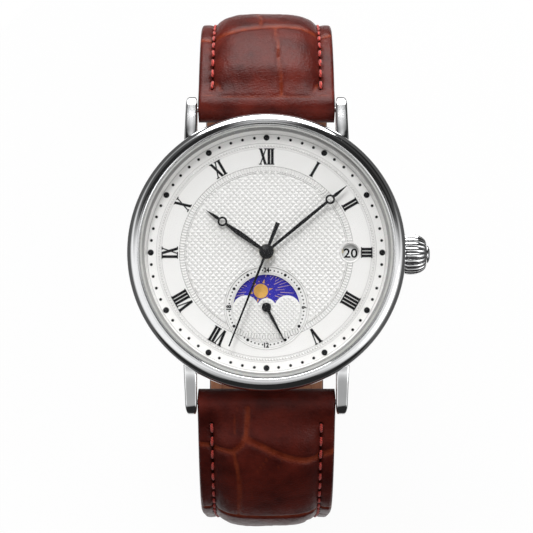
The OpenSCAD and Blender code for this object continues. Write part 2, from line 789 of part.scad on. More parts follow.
module cannon_pinion() {
  foot = centre_z - 0.1;
  color("silver") difference() {
    union() {
      translate([0, 0, foot]) cylinder(r = pipe_out, h = minute_hand_z + hand_t - foot);
      translate([0, 0, foot]) cylinder(r = 0.6, h = 0.09);
      translate([0, 0, cannon_z]) pinion(cannon_leaves, cannon_module, cannon_h);
    }
    translate([0, 0, foot - eps]) cylinder(r = pipe_in, h = 9);
  }
}

module third_wheel() {
  turn = mesh(third_dir, 0, centre_teeth, third_leaves);
  color(brass) translate([third_at[0], third_at[1], 0]) {
    translate([0, 0, third_z]) wheel(third_teeth, third_module, wheel_t, 0);
    translate([0, 0, third_z + wheel_t]) pinion(third_leaves, centre_module, centre_z + 0.02 - third_z, turn);
    translate([0, 0, bridge_z + 0.1]) cylinder(r = arbor_r * 0.7, h = 0.6, $fn = 24);
    translate([0, 0, bridge_top + 0.05]) cylinder(r = arbor_r, h = plate_top - bridge_top - 0.15, $fn = 24);
  }
}

module seconds_wheel() {
  turn = mesh(third_dir + 180, 0, third_teeth, second_leaves);
  color(brass) {
    translate([0, 0, seconds_z]) wheel(seconds_teeth, seconds_module, wheel_t, 0);
    translate([0, 0, seconds_z + wheel_t]) pinion(second_leaves, third_module, third_z - seconds_z + 0.02, turn);
    translate([0, 0, bridge_z + 0.1]) cylinder(r = arbor_r * 0.7, h = 0.6, $fn = 24);
    translate([0, 0, bridge_top + 0.05]) cylinder(r = arbor_r, h = second_hand_z + hand_t - bridge_top - 0.05);
  }
}

module step_wheel() {
  turn = mesh(step_dir, 0, seconds_teeth, step_leaves);
  color("whitesmoke") translate([step_at[0], step_at[1], 0]) {
    translate([0, 0, third_z]) wheel(step_teeth, step_module, wheel_t, 0, 0);
    translate([0, 0, seconds_z - 0.05]) pinion(step_leaves, seconds_module, third_z - seconds_z + 0.06, turn);
    translate([0, 0, bridge_z + 0.1]) cylinder(r = arbor_r * 0.7, h = 0.6, $fn = 24);
    translate([0, 0, bridge_top + 0.05]) cylinder(r = arbor_r, h = plate_top - bridge_top - 0.15, $fn = 24);
  }
}

module rotor() {
  turn = mesh(rotor_dir, 0, step_teeth, rotor_leaves);
  color("slategray") translate([rotor_at[0], rotor_at[1], 0]) {
    translate([0, 0, stator_z]) cylinder(r = rotor_magnet_r, h = stator_t);
    translate([0, 0, stator_z + stator_t]) pinion(rotor_leaves, step_module, third_z + wheel_t - stator_z - stator_t, turn);
    translate([0, 0, bridge_z + 0.1]) cylinder(r = arbor_r * 0.7, h = 0.6, $fn = 24);
    translate([0, 0, bridge_top + 0.02]) cylinder(r = arbor_r, h = plate_top - bridge_top - 0.12, $fn = 24);
  }
}

module minute_wheel() {
  turn = mesh(minute_dir, 0, cannon_leaves, minute_teeth);
  color(brass) translate([minute_at[0], minute_at[1], 0]) difference() {
    union() {
      translate([0, 0, minute_z]) wheel(minute_teeth, cannon_module, wheel_t, 0, 4, turn);
      translate([0, 0, minute_z + wheel_t]) pinion(minute_leaves, hour_module, hour_z - minute_z);
    }
    translate([0, 0, minute_z - 1]) cylinder(r = 0.22 + run_gap, h = 3, $fn = 24);
  }
}

module hour_wheel() {
  turn = mesh(minute_dir + 180, 0, minute_leaves, hour_teeth);
  color(brass) difference() {
    union() {
      translate([0, 0, hour_z]) wheel(hour_teeth, hour_module, wheel_t, 0, 4, turn);
      translate([0, 0, gear_z - 0.02]) pinion(day_gear_teeth, day_module, wheel_t + 0.02);
      translate([0, 0, hour_z]) cylinder(r = hour_pipe_out, h = hour_hand_z + hand_t - hour_z);
      translate([0, 0, hour_z]) cylinder(r = hour_pipe_out + 0.25, h = gear_z - hour_z);
    }
    translate([0, 0, hour_z - 1]) cylinder(r = hour_pipe_in, h = 5);
  }
}

idler_turn = mesh(-90, 0, day_gear_teeth, day_idler_teeth);
day_turn = mesh(-90, idler_turn, day_idler_teeth, day_teeth);

module day_night_idler() {
  color(brass) translate([idler_at[0], idler_at[1], gear_z]) difference() {
    wheel(day_idler_teeth, day_module, wheel_t, 0, 4, idler_turn);
    translate([0, 0, -1]) cylinder(r = 0.3 + run_gap, h = 3, $fn = 24);
  }
}

module day_night_wheel() {
  color(brass) translate([day_at[0], day_at[1], 0]) {
    translate([0, 0, gear_z]) wheel(day_teeth, day_module, wheel_t, 0, 4, day_turn);
    translate([0, 0, plate_z + 0.15]) cylinder(r = day_arbor_r, h = day_z + hand_t - plate_z - 0.15);
  }
}

module sun_moon_disc() {
  color("mediumblue") translate([day_at[0], day_at[1], disc_z]) ring(aperture_r + 0.2, day_arbor_r, 0.14);
}

module date_drive_wheel() {
  turn = mesh(date_drive_dir, day_turn, day_teeth, day_teeth);
  finger_dir = atan2(date_drive_at[1], date_drive_at[0]) + 180;
  color(brass) translate([date_drive_at[0], date_drive_at[1], 0]) difference() {
    union() {
      translate([0, 0, gear_z]) wheel(day_teeth, day_module, wheel_t, 0, 4, turn);
      translate([0, 0, date_z]) cylinder(r = 0.65, h = gear_z - date_z + eps);
      translate([0, 0, date_z]) rotate(finger_dir) linear_extrude(date_t * 0.7)
        polygon([[0, -0.4], [date_finger, -0.15], [date_finger, 0.15], [0, 0.4]]);
    }
    translate([0, 0, date_z - 1]) cylinder(r = 0.3 + run_gap, h = 4, $fn = 24);
  }
}

module date_ring() {
  pitch = 360 / date_teeth;
  root = date_ring_in + date_tooth_h;
  color("white") translate([0, 0, date_z]) linear_extrude(date_t) difference() {
    circle(r = date_ring_out, $fn = 96);
    polygon([for (i = [0:date_teeth - 1]) each let (a = jumper_dir + i * pitch) [
      polar(root, a - 0.3 * pitch), polar(root, a + 0.3 * pitch),
      polar(date_ring_in, a + 0.4 * pitch), polar(date_ring_in, a + 0.6 * pitch)]]);
  }
}

module date_jumper() {
  nose_r = 0.3;
  arm_r = date_ring_in - 1.1;
  post_dir = jumper_dir + 34;
  color("silver") {
    translate([0, 0, date_z]) linear_extrude(date_t * 0.8) {
      bar2d(polar(arm_r - 0.2, post_dir), polar(arm_r + 0.1, jumper_dir), 0.5);
      bar2d(polar(arm_r + 0.1, jumper_dir), polar(date_ring_in + 0.2, jumper_dir), 2 * nose_r);
      translate(polar(arm_r - 0.2, post_dir)) circle(r = 0.9);
    }
    translate(concat(polar(arm_r - 0.2, post_dir), [plate_top])) cylinder(r = 0.5, h = date_z - plate_top + eps);
  }
}

// Keyless works

module setting_stem() {
  color("silver") translate([0, 0, stem_z]) rotate([0, 90, 0]) {
    translate([0, 0, stem_pivot_x]) cylinder(r = stem_pivot_r, h = stem_square_x - stem_pivot_x + eps, $fn = 24);
    translate([-stem_square / 2, -stem_square / 2, stem_square_x])
      cube([stem_square, stem_square, stem_groove_x - stem_square_x]);
    translate([0, 0, stem_groove_x - eps]) cylinder(r = stem_groove_r, h = stem_groove_w + 2 * eps);
    translate([0, 0, stem_groove_x + stem_groove_w]) cylinder(r = stem_r, h = stem_end_x - stem_groove_x - stem_groove_w);
  }
}

module sliding_pinion() {
  color("silver") translate([pinion_x, 0, stem_z]) rotate([0, 90, 0]) difference() {
    union() {
      linear_extrude(pinion_len * 0.35) gear2d(12, 0.11);
      translate([0, 0, pinion_len * 0.35 - eps]) cylinder(r = 0.45, h = pinion_len * 0.3 + 2 * eps);
      translate([0, 0, pinion_len * 0.65]) linear_extrude(pinion_len * 0.35) gear2d(12, 0.11);
    }
    translate([-stem_square / 2 - run_gap, -stem_square / 2 - run_gap, -1])
      cube([stem_square + 2 * run_gap, stem_square + 2 * run_gap, pinion_len + 2]);
  }
}

module setting_lever() {
  arm_dir = [-2.2, 1.2];
  color("silver") {
    translate([0, 0, plate_top + 0.03]) linear_extrude(lever_t) difference() {
      union() {
        bar2d(lever_at, lever_post, 0.6);
        bar2d(lever_at, lever_at + arm_dir, 0.6);
        translate(lever_at) circle(r = lever_boss_r);
      }
      translate(lever_at) circle(r = lever_pin_r + run_gap);
    }
    translate([lever_post[0], lever_post[1], stem_z])
      cylinder(r = lever_post_r, h = plate_top + 0.05 - stem_z, $fn = 24);
  }
}

module yoke() {
  fork = [pinion_x + pinion_len / 2, 0.45 + lever_post_r + run_gap];
  pin = [7.2, 5.0];
  color("silver") {
    translate([0, 0, plate_top + 0.01]) linear_extrude(lever_t) {
      bar2d(pin, fork, 0.6);
      translate(pin) circle(r = 0.7);
    }
    translate([fork[0], fork[1], stem_z]) cylinder(r = lever_post_r - 0.02, h = plate_top + 0.1 - stem_z, $fn = 24);
  }
}

// Crown

// One ring of the ribbed crown at t along its length, as points round the X axis
function crown_ring(t) = let (
    peak = 0.42,
    base = t < peak ? crown_base_r : crown_end_r,
    k = t < peak ? (peak - t) / peak : (t - peak) / (1 - peak),
    r = base + (crown_r - base) * sqrt(1 - 0.98 * k * k),
    low = r - flute_depth * r / crown_r * (t > 0.95 ? 0.4 : 1),
    x = crown_x0 + t * crown_len,
    n = 4 * crown_ribs,
    step = 360 / n
  ) [for (i = [0:n - 1]) let (q = i % 4, a = (i + (q == 1 || q == 3 ? 0.35 : 0)) * step,
    p = polar(q < 2 ? r : low, a)) [x, p[0], p[1]]];

module crown() {
  inner_share = 0.4;
  color(steel) translate([0, 0, stem_z]) difference() {
    union() {
      difference() {
        loft(concat([[for (p = crown_ring(0)) [p[0], p[1] * inner_share, p[2] * inner_share]]],
          [for (t = [0, 0.1, 0.22, 0.42, 0.6, 0.75, 0.87, 0.95, 1]) crown_ring(t)]));
        translate([crown_x0 - 1, 0, 0]) rotate([0, 90, 0])
          cylinder(r = crown_recess_r, h = 1 + tube_end_x - crown_x0 + 0.25);
      }
      translate([post_in_x, 0, 0]) rotate([0, 90, 0]) cylinder(r = post_r, h = tube_end_x + 0.45 - post_in_x);
    }
    translate([post_in_x - 1, 0, 0]) rotate([0, 90, 0])
      cylinder(r = stem_r + fit, h = 1 + stem_end_x - post_in_x + fit);
  }
}

module crown_button() {
  steps = 6;
  color(steel) translate([crown_x1, 0, stem_z]) rotate([0, 90, 0]) rotate_extrude() polygon(concat(
    [[0, 0]], [for (i = [0:steps]) let (a = 90 * i / steps)
      [button_r * (i == steps ? 0 : cos(a)), 0.12 + (button_h - 0.12) * sin(a)]]));
}

// Strap bars

module bar_tube(side) {
  color("silver") translate([-bar_tube_len / 2, side * bar_y, bar_z]) rotate([0, 90, 0])
    difference() {
      ring(bar_tube_r, bar_tip_r + run_gap, bar_tube_len);
      translate([0, 0, bar_tip_in - 1.2]) cylinder(r = bar_tip_r + 0.2, h = bar_tube_len - 2 * (bar_tip_in - 1.2));
    }
}

module bar_tip(side, end) {
  far = lug_in + bar_hole_depth - 0.1;
  color("silver") translate([0, side * bar_y, bar_z]) mirror([end > 0 ? 0 : 1, 0, 0]) rotate([0, 90, 0]) {
    translate([0, 0, lug_in - bar_tip_in]) cylinder(r = bar_tip_r, h = far - lug_in + bar_tip_in);
    translate([0, 0, lug_in - bar_tip_in - 0.3]) cylinder(r = bar_tip_r + 0.14, h = 0.6);
  }
}

module lug_bar_tube_12() { bar_tube(1); }
module lug_bar_tube_6() { bar_tube(-1); }
module bar_tip_12_left() { bar_tip(1, -1); }
module bar_tip_12_right() { bar_tip(1, 1); }
module bar_tip_6_left() { bar_tip(-1, -1); }
module bar_tip_6_right() { bar_tip(-1, 1); }

// Strap, drawn for the +Y side; the long half is mirrored over

function advance(p, l, k) = k == 0
  ? [p[0] + l * cos(p[2]), p[1] - l * sin(p[2]), p[2]]
  : let (h = p[2] + k * l, r = degree_mm / k)
    [p[0] + r * (sin(h) - sin(p[2])), p[1] + r * (cos(h) - cos(p[2])), h];

// Place and slope at length s along a path
function along(path, s, p = strap_start, i = 0) = s < 0
  ? advance(p, s, 0)
  : s <= path[i][0] ? advance(p, s, path[i][1])
  : along(path, s - path[i][0], advance(p, path[i][0], path[i][1]), i + 1);

// The point at width x and height v over the path at length s
function on_path(path, s, x, v) = let (p = along(path, s))
  [x, p[0] + v * sin(p[2]), p[1] + v * cos(p[2])];

function strap_width(s) = strap_w + (strap_end_w - strap_w) * min(max(s, 0) / taper_len, 1);
function padding(s) = pad_rise * ease(s / 6) * (1 - 0.8 * ease((s - 32) / 26));

// One ring of the outer leather: flat margins and a crowned middle
function hide_ring(path, s, half, top, bottom, rise) = let (
    pad = half - margin_w,
    us = [-1, -0.86, -0.6, -0.25, 0.25, 0.6, 0.86, 1],
    round_w = 0.35
  ) [for (q = concat(
    [[-half, bottom], [-half, top - round_w], [-half + round_w, top]],
    [for (u = us) [u * pad, top + rise * (1 - pow(abs(u), 4))]],
    [[half - round_w, top], [half, top - round_w], [half, bottom]])) on_path(path, s, q[0], q[1])];

function roll_start(path) = [for (a = [14, 35, 60, 90]) let (s = -roll_r * cos(a), h = roll_r * sin(a))
  hide_ring(path, s, strap_w / 2 - 0.35 * cos(a), h, -h, 0)];

// Upper and lower faces of the leather between its ends
function top_at(s) = edge_v + (roll_r - edge_v) * (1 - ease(s / 4));
function bottom_at(s) = -inner_v - (roll_r - inner_v) * (1 - ease((s - 1.1) / 2.1));

function body_rings(path, stations) = [for (s = stations)
  hide_ring(path, s, strap_width(s) / 2, top_at(s), bottom_at(s), padding(s))];

bend_step = 2.7;
near_stations = [0.8, 1.6, 2.4, 3.2, 4.6, 6.4, 8.6];

module strap_short_leather() {
  curved = upper_bend + under_bend;
  end = short_len;
  stations = concat(near_stations, [for (s = [11:bend_step:curved]) s], [curved + 1, end - plain_end, end - 5]);
  tail = [for (a = [90, 60, 35, 14]) let (s = end + buckle_roll * cos(a), h = buckle_roll * sin(a))
    hide_ring(short_path, s, strap_end_w / 2 - 0.35 * cos(a), h, -h, 0)];
  neck = [for (s = [end - 3, end - 1.5])
    hide_ring(short_path, s, strap_end_w / 2, edge_v + 0.6 * ease((s - end + 5) / 5),
      -inner_v - 0.9 * ease((s - end + 5) / 4.5), 0.15)];
  color(hide) difference() {
    loft(concat(roll_start(short_path), body_rings(short_path, stations), neck, tail));
    translate([-strap_w, bar_y, bar_z]) rotate([0, 90, 0]) cylinder(r = bar_tube_r + bar_bore_gap, h = 2 * strap_w);
    at_path(short_path, end) {
      translate([-strap_w, 0, 0]) rotate([0, 90, 0]) cylinder(r = buckle_bar_r + bar_bore_gap, h = 2 * strap_w);
      translate([-slot_w / 2, -slot_len, -3]) cube([slot_w, slot_len + 3, 6]);
    }
  }
}

module at_path(path, s) {
  p = along(path, s);
  translate([0, p[0], p[1]]) rotate([-p[2], 0, 0]) children();
}

module lining(path, stations) {
  color(hide_back) loft([for (s = stations) let (half = strap_width(s) / 2 - 0.15)
    [for (q = [[-half, -inner_v - lining_t], [-half, -inner_v - lining_gap], [half, -inner_v - lining_gap],
      [half, -inner_v - lining_t]]) on_path(path, s, q[0], q[1])]]);
}

module strap_short_lining() {
  curved = upper_bend + under_bend;
  lining(short_path, concat([lining_from, 4.6, 6.4, 8.6], [for (s = [11:bend_step:curved]) s],
    [curved + 1, short_len - plain_end, short_len - lining_end]));
}

module strap_long_leather() {
  curved = upper_bend + long_drop + foot_bend;
  from = upper_bend + long_drop + bend_step;
  point = [for (u = [0.1, 0.3, 0.5, 0.7, 0.85, 0.95, 1]) long_len - tip_len + u * tip_len];
  color(hide) mirror([0, 1, 0]) difference() {
    loft(concat(roll_start(long_path),
      body_rings(long_path, concat(near_stations, [for (s = [11:bend_step:upper_bend]) s],
        [for (s = [upper_bend + 1:5:from]) s], [for (s = [from:bend_step:curved]) s],
        [curved + 2, long_len - tip_len])),
      [for (s = point) hide_ring(long_path, s, tip_half(s), edge_v, -inner_v, 0.25 * padding(60))]));
    translate([-strap_w, bar_y, bar_z]) rotate([0, 90, 0]) cylinder(r = bar_tube_r + bar_bore_gap, h = 2 * strap_w);
    for (i = [0:hole_count - 1]) at_path(long_path, long_len - hole_tip - i * hole_pitch)
      translate([0, 0, -3]) cylinder(r = hole_r, h = 6);
  }
}

// Half width of the long half's rounded tip
function tip_half(s) = let (u = (s - long_len + tip_len) / tip_len)
  margin_w + 0.9 + (strap_end_w / 2 - margin_w - 0.9) * sqrt(1 - 0.999 * u * u);

module strap_long_lining() {
  curved = upper_bend + long_drop + foot_bend;
  from = upper_bend + long_drop + bend_step;
  color(hide_back) mirror([0, 1, 0]) difference() {
    loft([for (s = concat([lining_from, 4.6, 6.4, 8.6], [for (s = [11:bend_step:upper_bend]) s],
        [for (s = [upper_bend + 1:5:from]) s], [for (s = [from:bend_step:curved]) s],
        [curved + 2, long_len - tip_len],
        [for (u = [0.3, 0.6, 0.8, 0.92]) long_len - tip_len + u * tip_len]))
      let (half = (s > long_len - tip_len ? tip_half(s) : strap_width(s) / 2) - 0.15)
      [for (q = [[-half, -inner_v - lining_t], [-half, -inner_v - lining_gap],
        [half, -inner_v - lining_gap], [half, -inner_v - lining_t]]) on_path(long_path, s, q[0], q[1])]]);
    for (i = [0:hole_count - 1]) at_path(long_path, long_len - hole_tip - i * hole_pitch)
      translate([0, 0, -3]) cylinder(r = hole_r, h = 6);
  }
}

// Keepers: bands of leather round the strap with room for the tail

module rounded2d(x0, y0, x1, y1, r) {
  translate([x0 + r, y0]) square([x1 - x0 - 2 * r, y1 - y0]);
  translate([x0, y0 + r]) square([x1 - x0, y1 - y0 - 2 * r]);
  for (x = [x0 + r, x1 - r], y = [y0 + r, y1 - r]) translate([x, y]) circle(r = r);
}

module keeper(s, reach) {
  half = strap_width(s - reach - keeper_w / 2) / 2 + keeper_gap;
  low = -inner_v - lining_t - keeper_gap;
  high = edge_v + padding(s - reach) + keeper_gap + keeper_room;
  color(hide) at_path(short_path, s) translate([0, keeper_w / 2, 0]) rotate([90, 0, 0])
    linear_extrude(keeper_w) difference() {
      rounded2d(-half - keeper_t, low - keeper_t, half + keeper_t, high + keeper_t, 1.2);
      rounded2d(-half, low, half, high, 0.3);
    }
}

module fixed_keeper() { keeper(fixed_keeper_s, 0); }
module free_keeper() { keeper(free_keeper_s, keeper_slide); }

// Buckle, drawn with its bar on the X axis and its front towards +Y

module buckle_frame() {
  half_t = buckle_wire / 2;
  back = -buckle_bar_r - 0.5;
  front = buckle_len + buckle_wire;
  color(steel) at_path(short_path, short_len) difference() {
    translate([0, 0, -half_t]) linear_extrude(buckle_wire) difference() {
      rounded2d(-buckle_out, back, buckle_out, front, 2.4);
      rounded2d(-buckle_in, -6, buckle_in, buckle_len, 0.8);
    }
    translate([-buckle_out - 1, 0, 0]) rotate([0, 90, 0]) cylinder(r = bar_tip_r + run_gap, h = 2 * buckle_out + 2);
  }
}

module buckle_bar() {
  color("silver") at_path(short_path, short_len) rotate([0, 90, 0]) {
    translate([0, 0, -buckle_in + 0.1]) cylinder(r = buckle_bar_r, h = 2 * buckle_in - 0.2);
    translate([0, 0, -buckle_out + 0.3]) cylinder(r = bar_tip_r, h = 2 * buckle_out - 0.6);
  }
}

module buckle_tongue() {
  rest_v = buckle_wire / 2 + 0.06;
  eye_r = buckle_bar_r + bar_bore_gap + 0.5;
  blade = 0.95;
  tip = buckle_len + buckle_wire + 0.2;
  color(steel) at_path(short_path, short_len) difference() {
    translate([-tongue_w / 2, 0, 0]) union() {
      rotate([0, 90, 0]) cylinder(r = eye_r, h = tongue_w);
      rotate([90, 0, 90]) linear_extrude(tongue_w) polygon([
        [1.9, rest_v], [tip - 0.2, rest_v], [tip, rest_v + 0.45], [tip - 0.8, rest_v + blade],
        [1.2, rest_v + blade], [-0.35, 1.12], [0.75, 0.72]]);
    }
    translate([-tongue_w, 0, 0]) rotate([0, 90, 0]) cylinder(r = buckle_bar_r + bar_bore_gap, h = 2 * tongue_w);
  }
}

case_middle();
bezel();
crystal();
crystal_gasket();
caseback();
caseback_gasket();
crown_tube();
dial();
movement_ring();
main_plate();
date_plate();
train_bridge();
bridge_screws();
circuit_board();
battery();
battery_strap();
quartz_crystal();
coil();
stator();
date_jumper();
yoke();
lug_bar_tube_12();
lug_bar_tube_6();
bar_tip_12_left();
bar_tip_12_right();
bar_tip_6_left();
bar_tip_6_right();
minute_hand();
cannon_pinion();
centre_wheel();
hour_hand();
hour_wheel();
second_hand();
seconds_wheel();
third_wheel();
step_wheel();
rotor();
minute_wheel();
day_night_idler();
day_night_wheel();
sun_moon_disc();
day_hand();
date_drive_wheel();
date_ring();
sliding_pinion();
crown();
crown_button();
setting_stem();
setting_lever();
strap_short_leather();
strap_short_lining();
fixed_keeper();
free_keeper();
buckle_frame();
buckle_tongue();
buckle_bar();
strap_long_leather();
strap_long_lining();
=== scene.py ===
"""A dress wristwatch with a 24 hour sub-dial, a sun and moon disc and a padded leather strap.
Lengths are in millimetres until mesh() scales them; the frame is that of the CAD part."""
import json
import random
from math import copysign, cos, degrees, exp, hypot, pi, radians, sin, sqrt, tau

import bmesh
import bpy
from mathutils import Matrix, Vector, noise


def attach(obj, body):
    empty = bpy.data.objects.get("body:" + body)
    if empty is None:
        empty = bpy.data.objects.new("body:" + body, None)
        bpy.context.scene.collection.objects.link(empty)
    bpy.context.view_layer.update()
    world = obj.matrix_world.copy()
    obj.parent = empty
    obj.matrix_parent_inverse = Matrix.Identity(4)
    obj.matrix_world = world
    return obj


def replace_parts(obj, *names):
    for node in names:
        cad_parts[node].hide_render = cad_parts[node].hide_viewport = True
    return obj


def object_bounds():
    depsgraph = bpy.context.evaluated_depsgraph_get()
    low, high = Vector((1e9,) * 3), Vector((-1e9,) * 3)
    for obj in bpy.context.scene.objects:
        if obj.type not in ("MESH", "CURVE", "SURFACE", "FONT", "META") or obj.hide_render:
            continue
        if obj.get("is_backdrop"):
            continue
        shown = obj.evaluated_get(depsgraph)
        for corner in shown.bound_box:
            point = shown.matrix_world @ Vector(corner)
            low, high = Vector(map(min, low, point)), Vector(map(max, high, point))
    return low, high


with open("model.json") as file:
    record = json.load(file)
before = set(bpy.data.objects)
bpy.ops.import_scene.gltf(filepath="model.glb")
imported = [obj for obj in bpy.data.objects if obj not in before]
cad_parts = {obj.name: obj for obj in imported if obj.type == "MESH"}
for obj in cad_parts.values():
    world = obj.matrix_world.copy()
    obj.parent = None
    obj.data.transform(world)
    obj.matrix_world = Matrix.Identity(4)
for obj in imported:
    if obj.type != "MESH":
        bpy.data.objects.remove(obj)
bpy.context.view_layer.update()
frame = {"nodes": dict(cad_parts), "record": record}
MM = 0.001

# Heights of the dial's surfaces and the hands' tops, and the middle of the sub-dial
DIAL_TOP, DIAL_FLOOR, SUB_FLOOR, DISC_TOP, DATE_TOP = 6.1, 6.07, 5.98, 5.57, 5.12
HAND_TOP, SUB_HAND_TOP = 7.66, 6.44
SUB_CENTRE = (0.0, -7.89)


def add_object(name, data):
    made = bpy.data.objects.new(name, data)
    bpy.context.scene.collection.objects.link(made)
    return made


def add_camera():
    """Above the dial, leaning a little towards 6 o'clock, as in the photograph."""
    tilt, distance, field = radians(5.5), 0.55, 0.0764
    aim = Vector((0.0, -2.0 * MM, DIAL_TOP * MM))
    data = bpy.data.cameras.new("camera")
    data.lens = data.sensor_width * distance / field
    data.clip_start, data.clip_end = 0.01, 10
    camera = add_object("camera", data)
    camera.location = aim + distance * Vector((0, -sin(tilt), cos(tilt)))
    camera.rotation_euler = (tilt, 0, 0)
    bpy.context.scene.camera = camera


add_camera()


# Meshes

def mesh(name, verts, faces, material, smooth=True, sharp=None):
    """An object from points in millimetres; edges above the angle sharp, in degrees, stay sharp."""
    data = bpy.data.meshes.new(name)
    data.from_pydata([(x * MM, y * MM, z * MM) for x, y, z in verts], [], faces)
    data.validate()
    data.update()
    data.materials.append(material)
    piece = add_object(name, data)
    if smooth:
        data.shade_smooth()
        if sharp:
            sharpen(piece, sharp)
    return piece


def sharpen(piece, angle):
    piece.data.set_sharp_from_angle(angle=radians(angle))


def circle(r, n=28, x=0.0, y=0.0):
    """Points of a circle, anticlockwise from the X axis."""
    return [(x + r * cos(i * tau / n), y + r * sin(i * tau / n)) for i in range(n)]


def turned(points, angle, x=0.0, y=0.0):
    """Points turned anticlockwise by an angle in degrees, then moved by x and y."""
    c, s = cos(radians(angle)), sin(radians(angle))
    return [(x + u * c - v * s, y + u * s + v * c) for u, v in points]


def arc(cx, cy, r, a0, a1, n):
    """Points of an arc, angles in degrees."""
    return [(cx + r * cos(radians(a0 + (a1 - a0) * i / n)),
             cy + r * sin(radians(a0 + (a1 - a0) * i / n))) for i in range(n + 1)]


def ease(t):
    """0 below 0, 1 above 1 and a smooth step between."""
    c = min(max(t, 0.0), 1.0)
    return c * c * (3 - 2 * c)


def sweep(rings, loop=False, spans=None):
    """Points and faces of a skin through rings of equally many points: capped, or closed to a loop.
    It covers every span from a ring to the next, or only those that are named."""
    n, m = len(rings[0]), len(rings)
    faces = [(i * n + j, i * n + (j + 1) % n, (i + 1) % m * n + (j + 1) % n, (i + 1) % m * n + j)
             for i in spans or range(m if loop else m - 1) for j in range(n)]
    if not loop:
        faces += [tuple(reversed(range(n))), tuple(range((m - 1) * n, m * n))]
    return [p for r in rings for p in r], faces


def steps(start, end, pitch):
    """Lengths from the start, a pitch apart, as long as they are short of the end."""
    found = []
    while start < end:
        found.append(start)
        start += pitch
    return found


class Parts:
    """Points and faces of many small shapes that make one piece."""

    def __init__(self):
        self.verts, self.faces = [], []

    def add(self, verts, faces):
        base = len(self.verts)
        self.verts += verts
        self.faces += [tuple(base + i for i in f) for f in faces]
        return self

    def prism(self, outline, z0, z1):
        """A flat shape with the given outline, anticlockwise from above, between two heights."""
        self.add(*sweep([[(*p, z) for p in outline] for z in (z0, z1)]))

    def disc(self, x, y, r, z0, z1, n):
        self.prism(circle(r, n, x, y), z0, z1)

    def dome(self, x, y, z, r, h, n, levels, foot=0.0):
        """A low dome of radius r and height h on a foot that goes down by foot."""
        rings = [[(*p, z - foot) for p in circle(r, n, x, y)]]
        for a in (pi / 2 * j / levels for j in range(levels)):
            rings.append([(*p, z + h * sin(a)) for p in circle(r * cos(a), n, x, y)])
        verts, faces = sweep(rings)
        top = len(verts)
        faces[-1:] = [(top - n + i, top - n + (i + 1) % n, top) for i in range(n)]
        self.add(verts + [(x, y, z + h)], faces)

    def piece(self, name, material, **how):
        return mesh(name, self.verts, self.faces, material, **how)


def rod(x0, x1, y, z, r, n=24):
    """A round rod along X, as a cutter."""
    return Parts().add(*sweep([[(x, *p) for p in circle(r, n, y, z)] for x in (x0, x1)]))


def revolve(name, profile, material, n, sharp=30):
    """A closed profile of (radius, height) points, turned about Z in n steps; radius 0 is a pole."""
    verts, faces, rows = [], [], []
    for r, z in profile:
        if r == 0:
            rows.append([len(verts)] * n)
            verts.append((0.0, 0.0, z))
        else:
            rows.append([len(verts) + i for i in range(n)])
            verts += [(*p, z) for p in circle(r, n)]
    for a, b in zip(rows, rows[1:] + rows[:1]):
        for i in range(n):
            k = (i + 1) % n
            face = tuple(dict.fromkeys((a[i], a[k], b[k], b[i])))
            if len(face) > 2:
                faces.append(face)
    return mesh(name, verts, faces, material, sharp=sharp)


def outward(piece):
    """Turns every face of a closed piece outward."""
    work = bmesh.new()
    work.from_mesh(piece.data)
    bmesh.ops.recalc_face_normals(work, faces=work.faces)
    work.to_mesh(piece.data)
    work.free()


def carve(piece, cutters, operation="DIFFERENCE"):
    """Takes the cutters' shapes out of a piece, or adds them to it."""
    for cutter in cutters:
        tool = cutter.piece("cutter", piece.data.materials[0], smooth=False)
        outward(tool)
        change = piece.modifiers.new("cut", "BOOLEAN")
        change.operation, change.solver, change.object = operation, "EXACT", tool
        graph = bpy.context.evaluated_depsgraph_get()
        made = bpy.data.meshes.new_from_object(piece.evaluated_get(graph))
        piece.modifiers.clear()
        old, piece.data = piece.data, made
        spent = tool.data
        bpy.data.objects.remove(tool)
        for data in (old, spent):
            bpy.data.meshes.remove(data)


# Materials

class Nodes:
    """A cleared node tree and short ways to fill it."""

    def __init__(self, tree):
        self.tree = tree
        tree.nodes.clear()

    def feed(self, socket, value):
        if isinstance(value, bpy.types.NodeSocket):
            self.tree.links.new(value, socket)
        elif isinstance(value, tuple) and len(value) == 3 and socket.type == "RGBA":
            socket.default_value = (*value, 1.0)
        else:
            socket.default_value = value

    def node(self, kind, settings=None, **values):
        """A new shader node; an input's name has _ in the place of a space."""
        made = self.tree.nodes.new("ShaderNode" + kind)
        for key, value in (settings or {}).items():
            setattr(made, key, value)
        for key, value in values.items():
            self.feed(made.inputs[key.replace("_", " ")], value)
        return made

    def numbered(self, kind, *values, **settings):
        """The first output of a new node whose inputs are given in order."""
        made = self.node(kind, settings)
        for socket, value in zip(made.inputs, values):
            self.feed(socket, value)
        return made.outputs[0]

    def maths(self, kind, a, b):
        return self.numbered("Math", a, b, operation=kind)

    def remap(self, value, a, b, low=0.0, high=1.0, how="LINEAR"):
        return self.numbered("MapRange", value, a, b, low, high, interpolation_type=how)

    def mixed(self, share, a, b):
        """Two shaders, mixed by the share of the second."""
        return self.numbered("MixShader", share, a, b)

    def rays(self, *kinds):
        """1 for rays of one or two kinds, such as Camera, and 0 for all others."""
        path = self.node("LightPath").outputs
        found = [path[f"Is {kind} Ray"] for kind in kinds]
        return self.maths("MAXIMUM", *found) if len(found) > 1 else found[0]


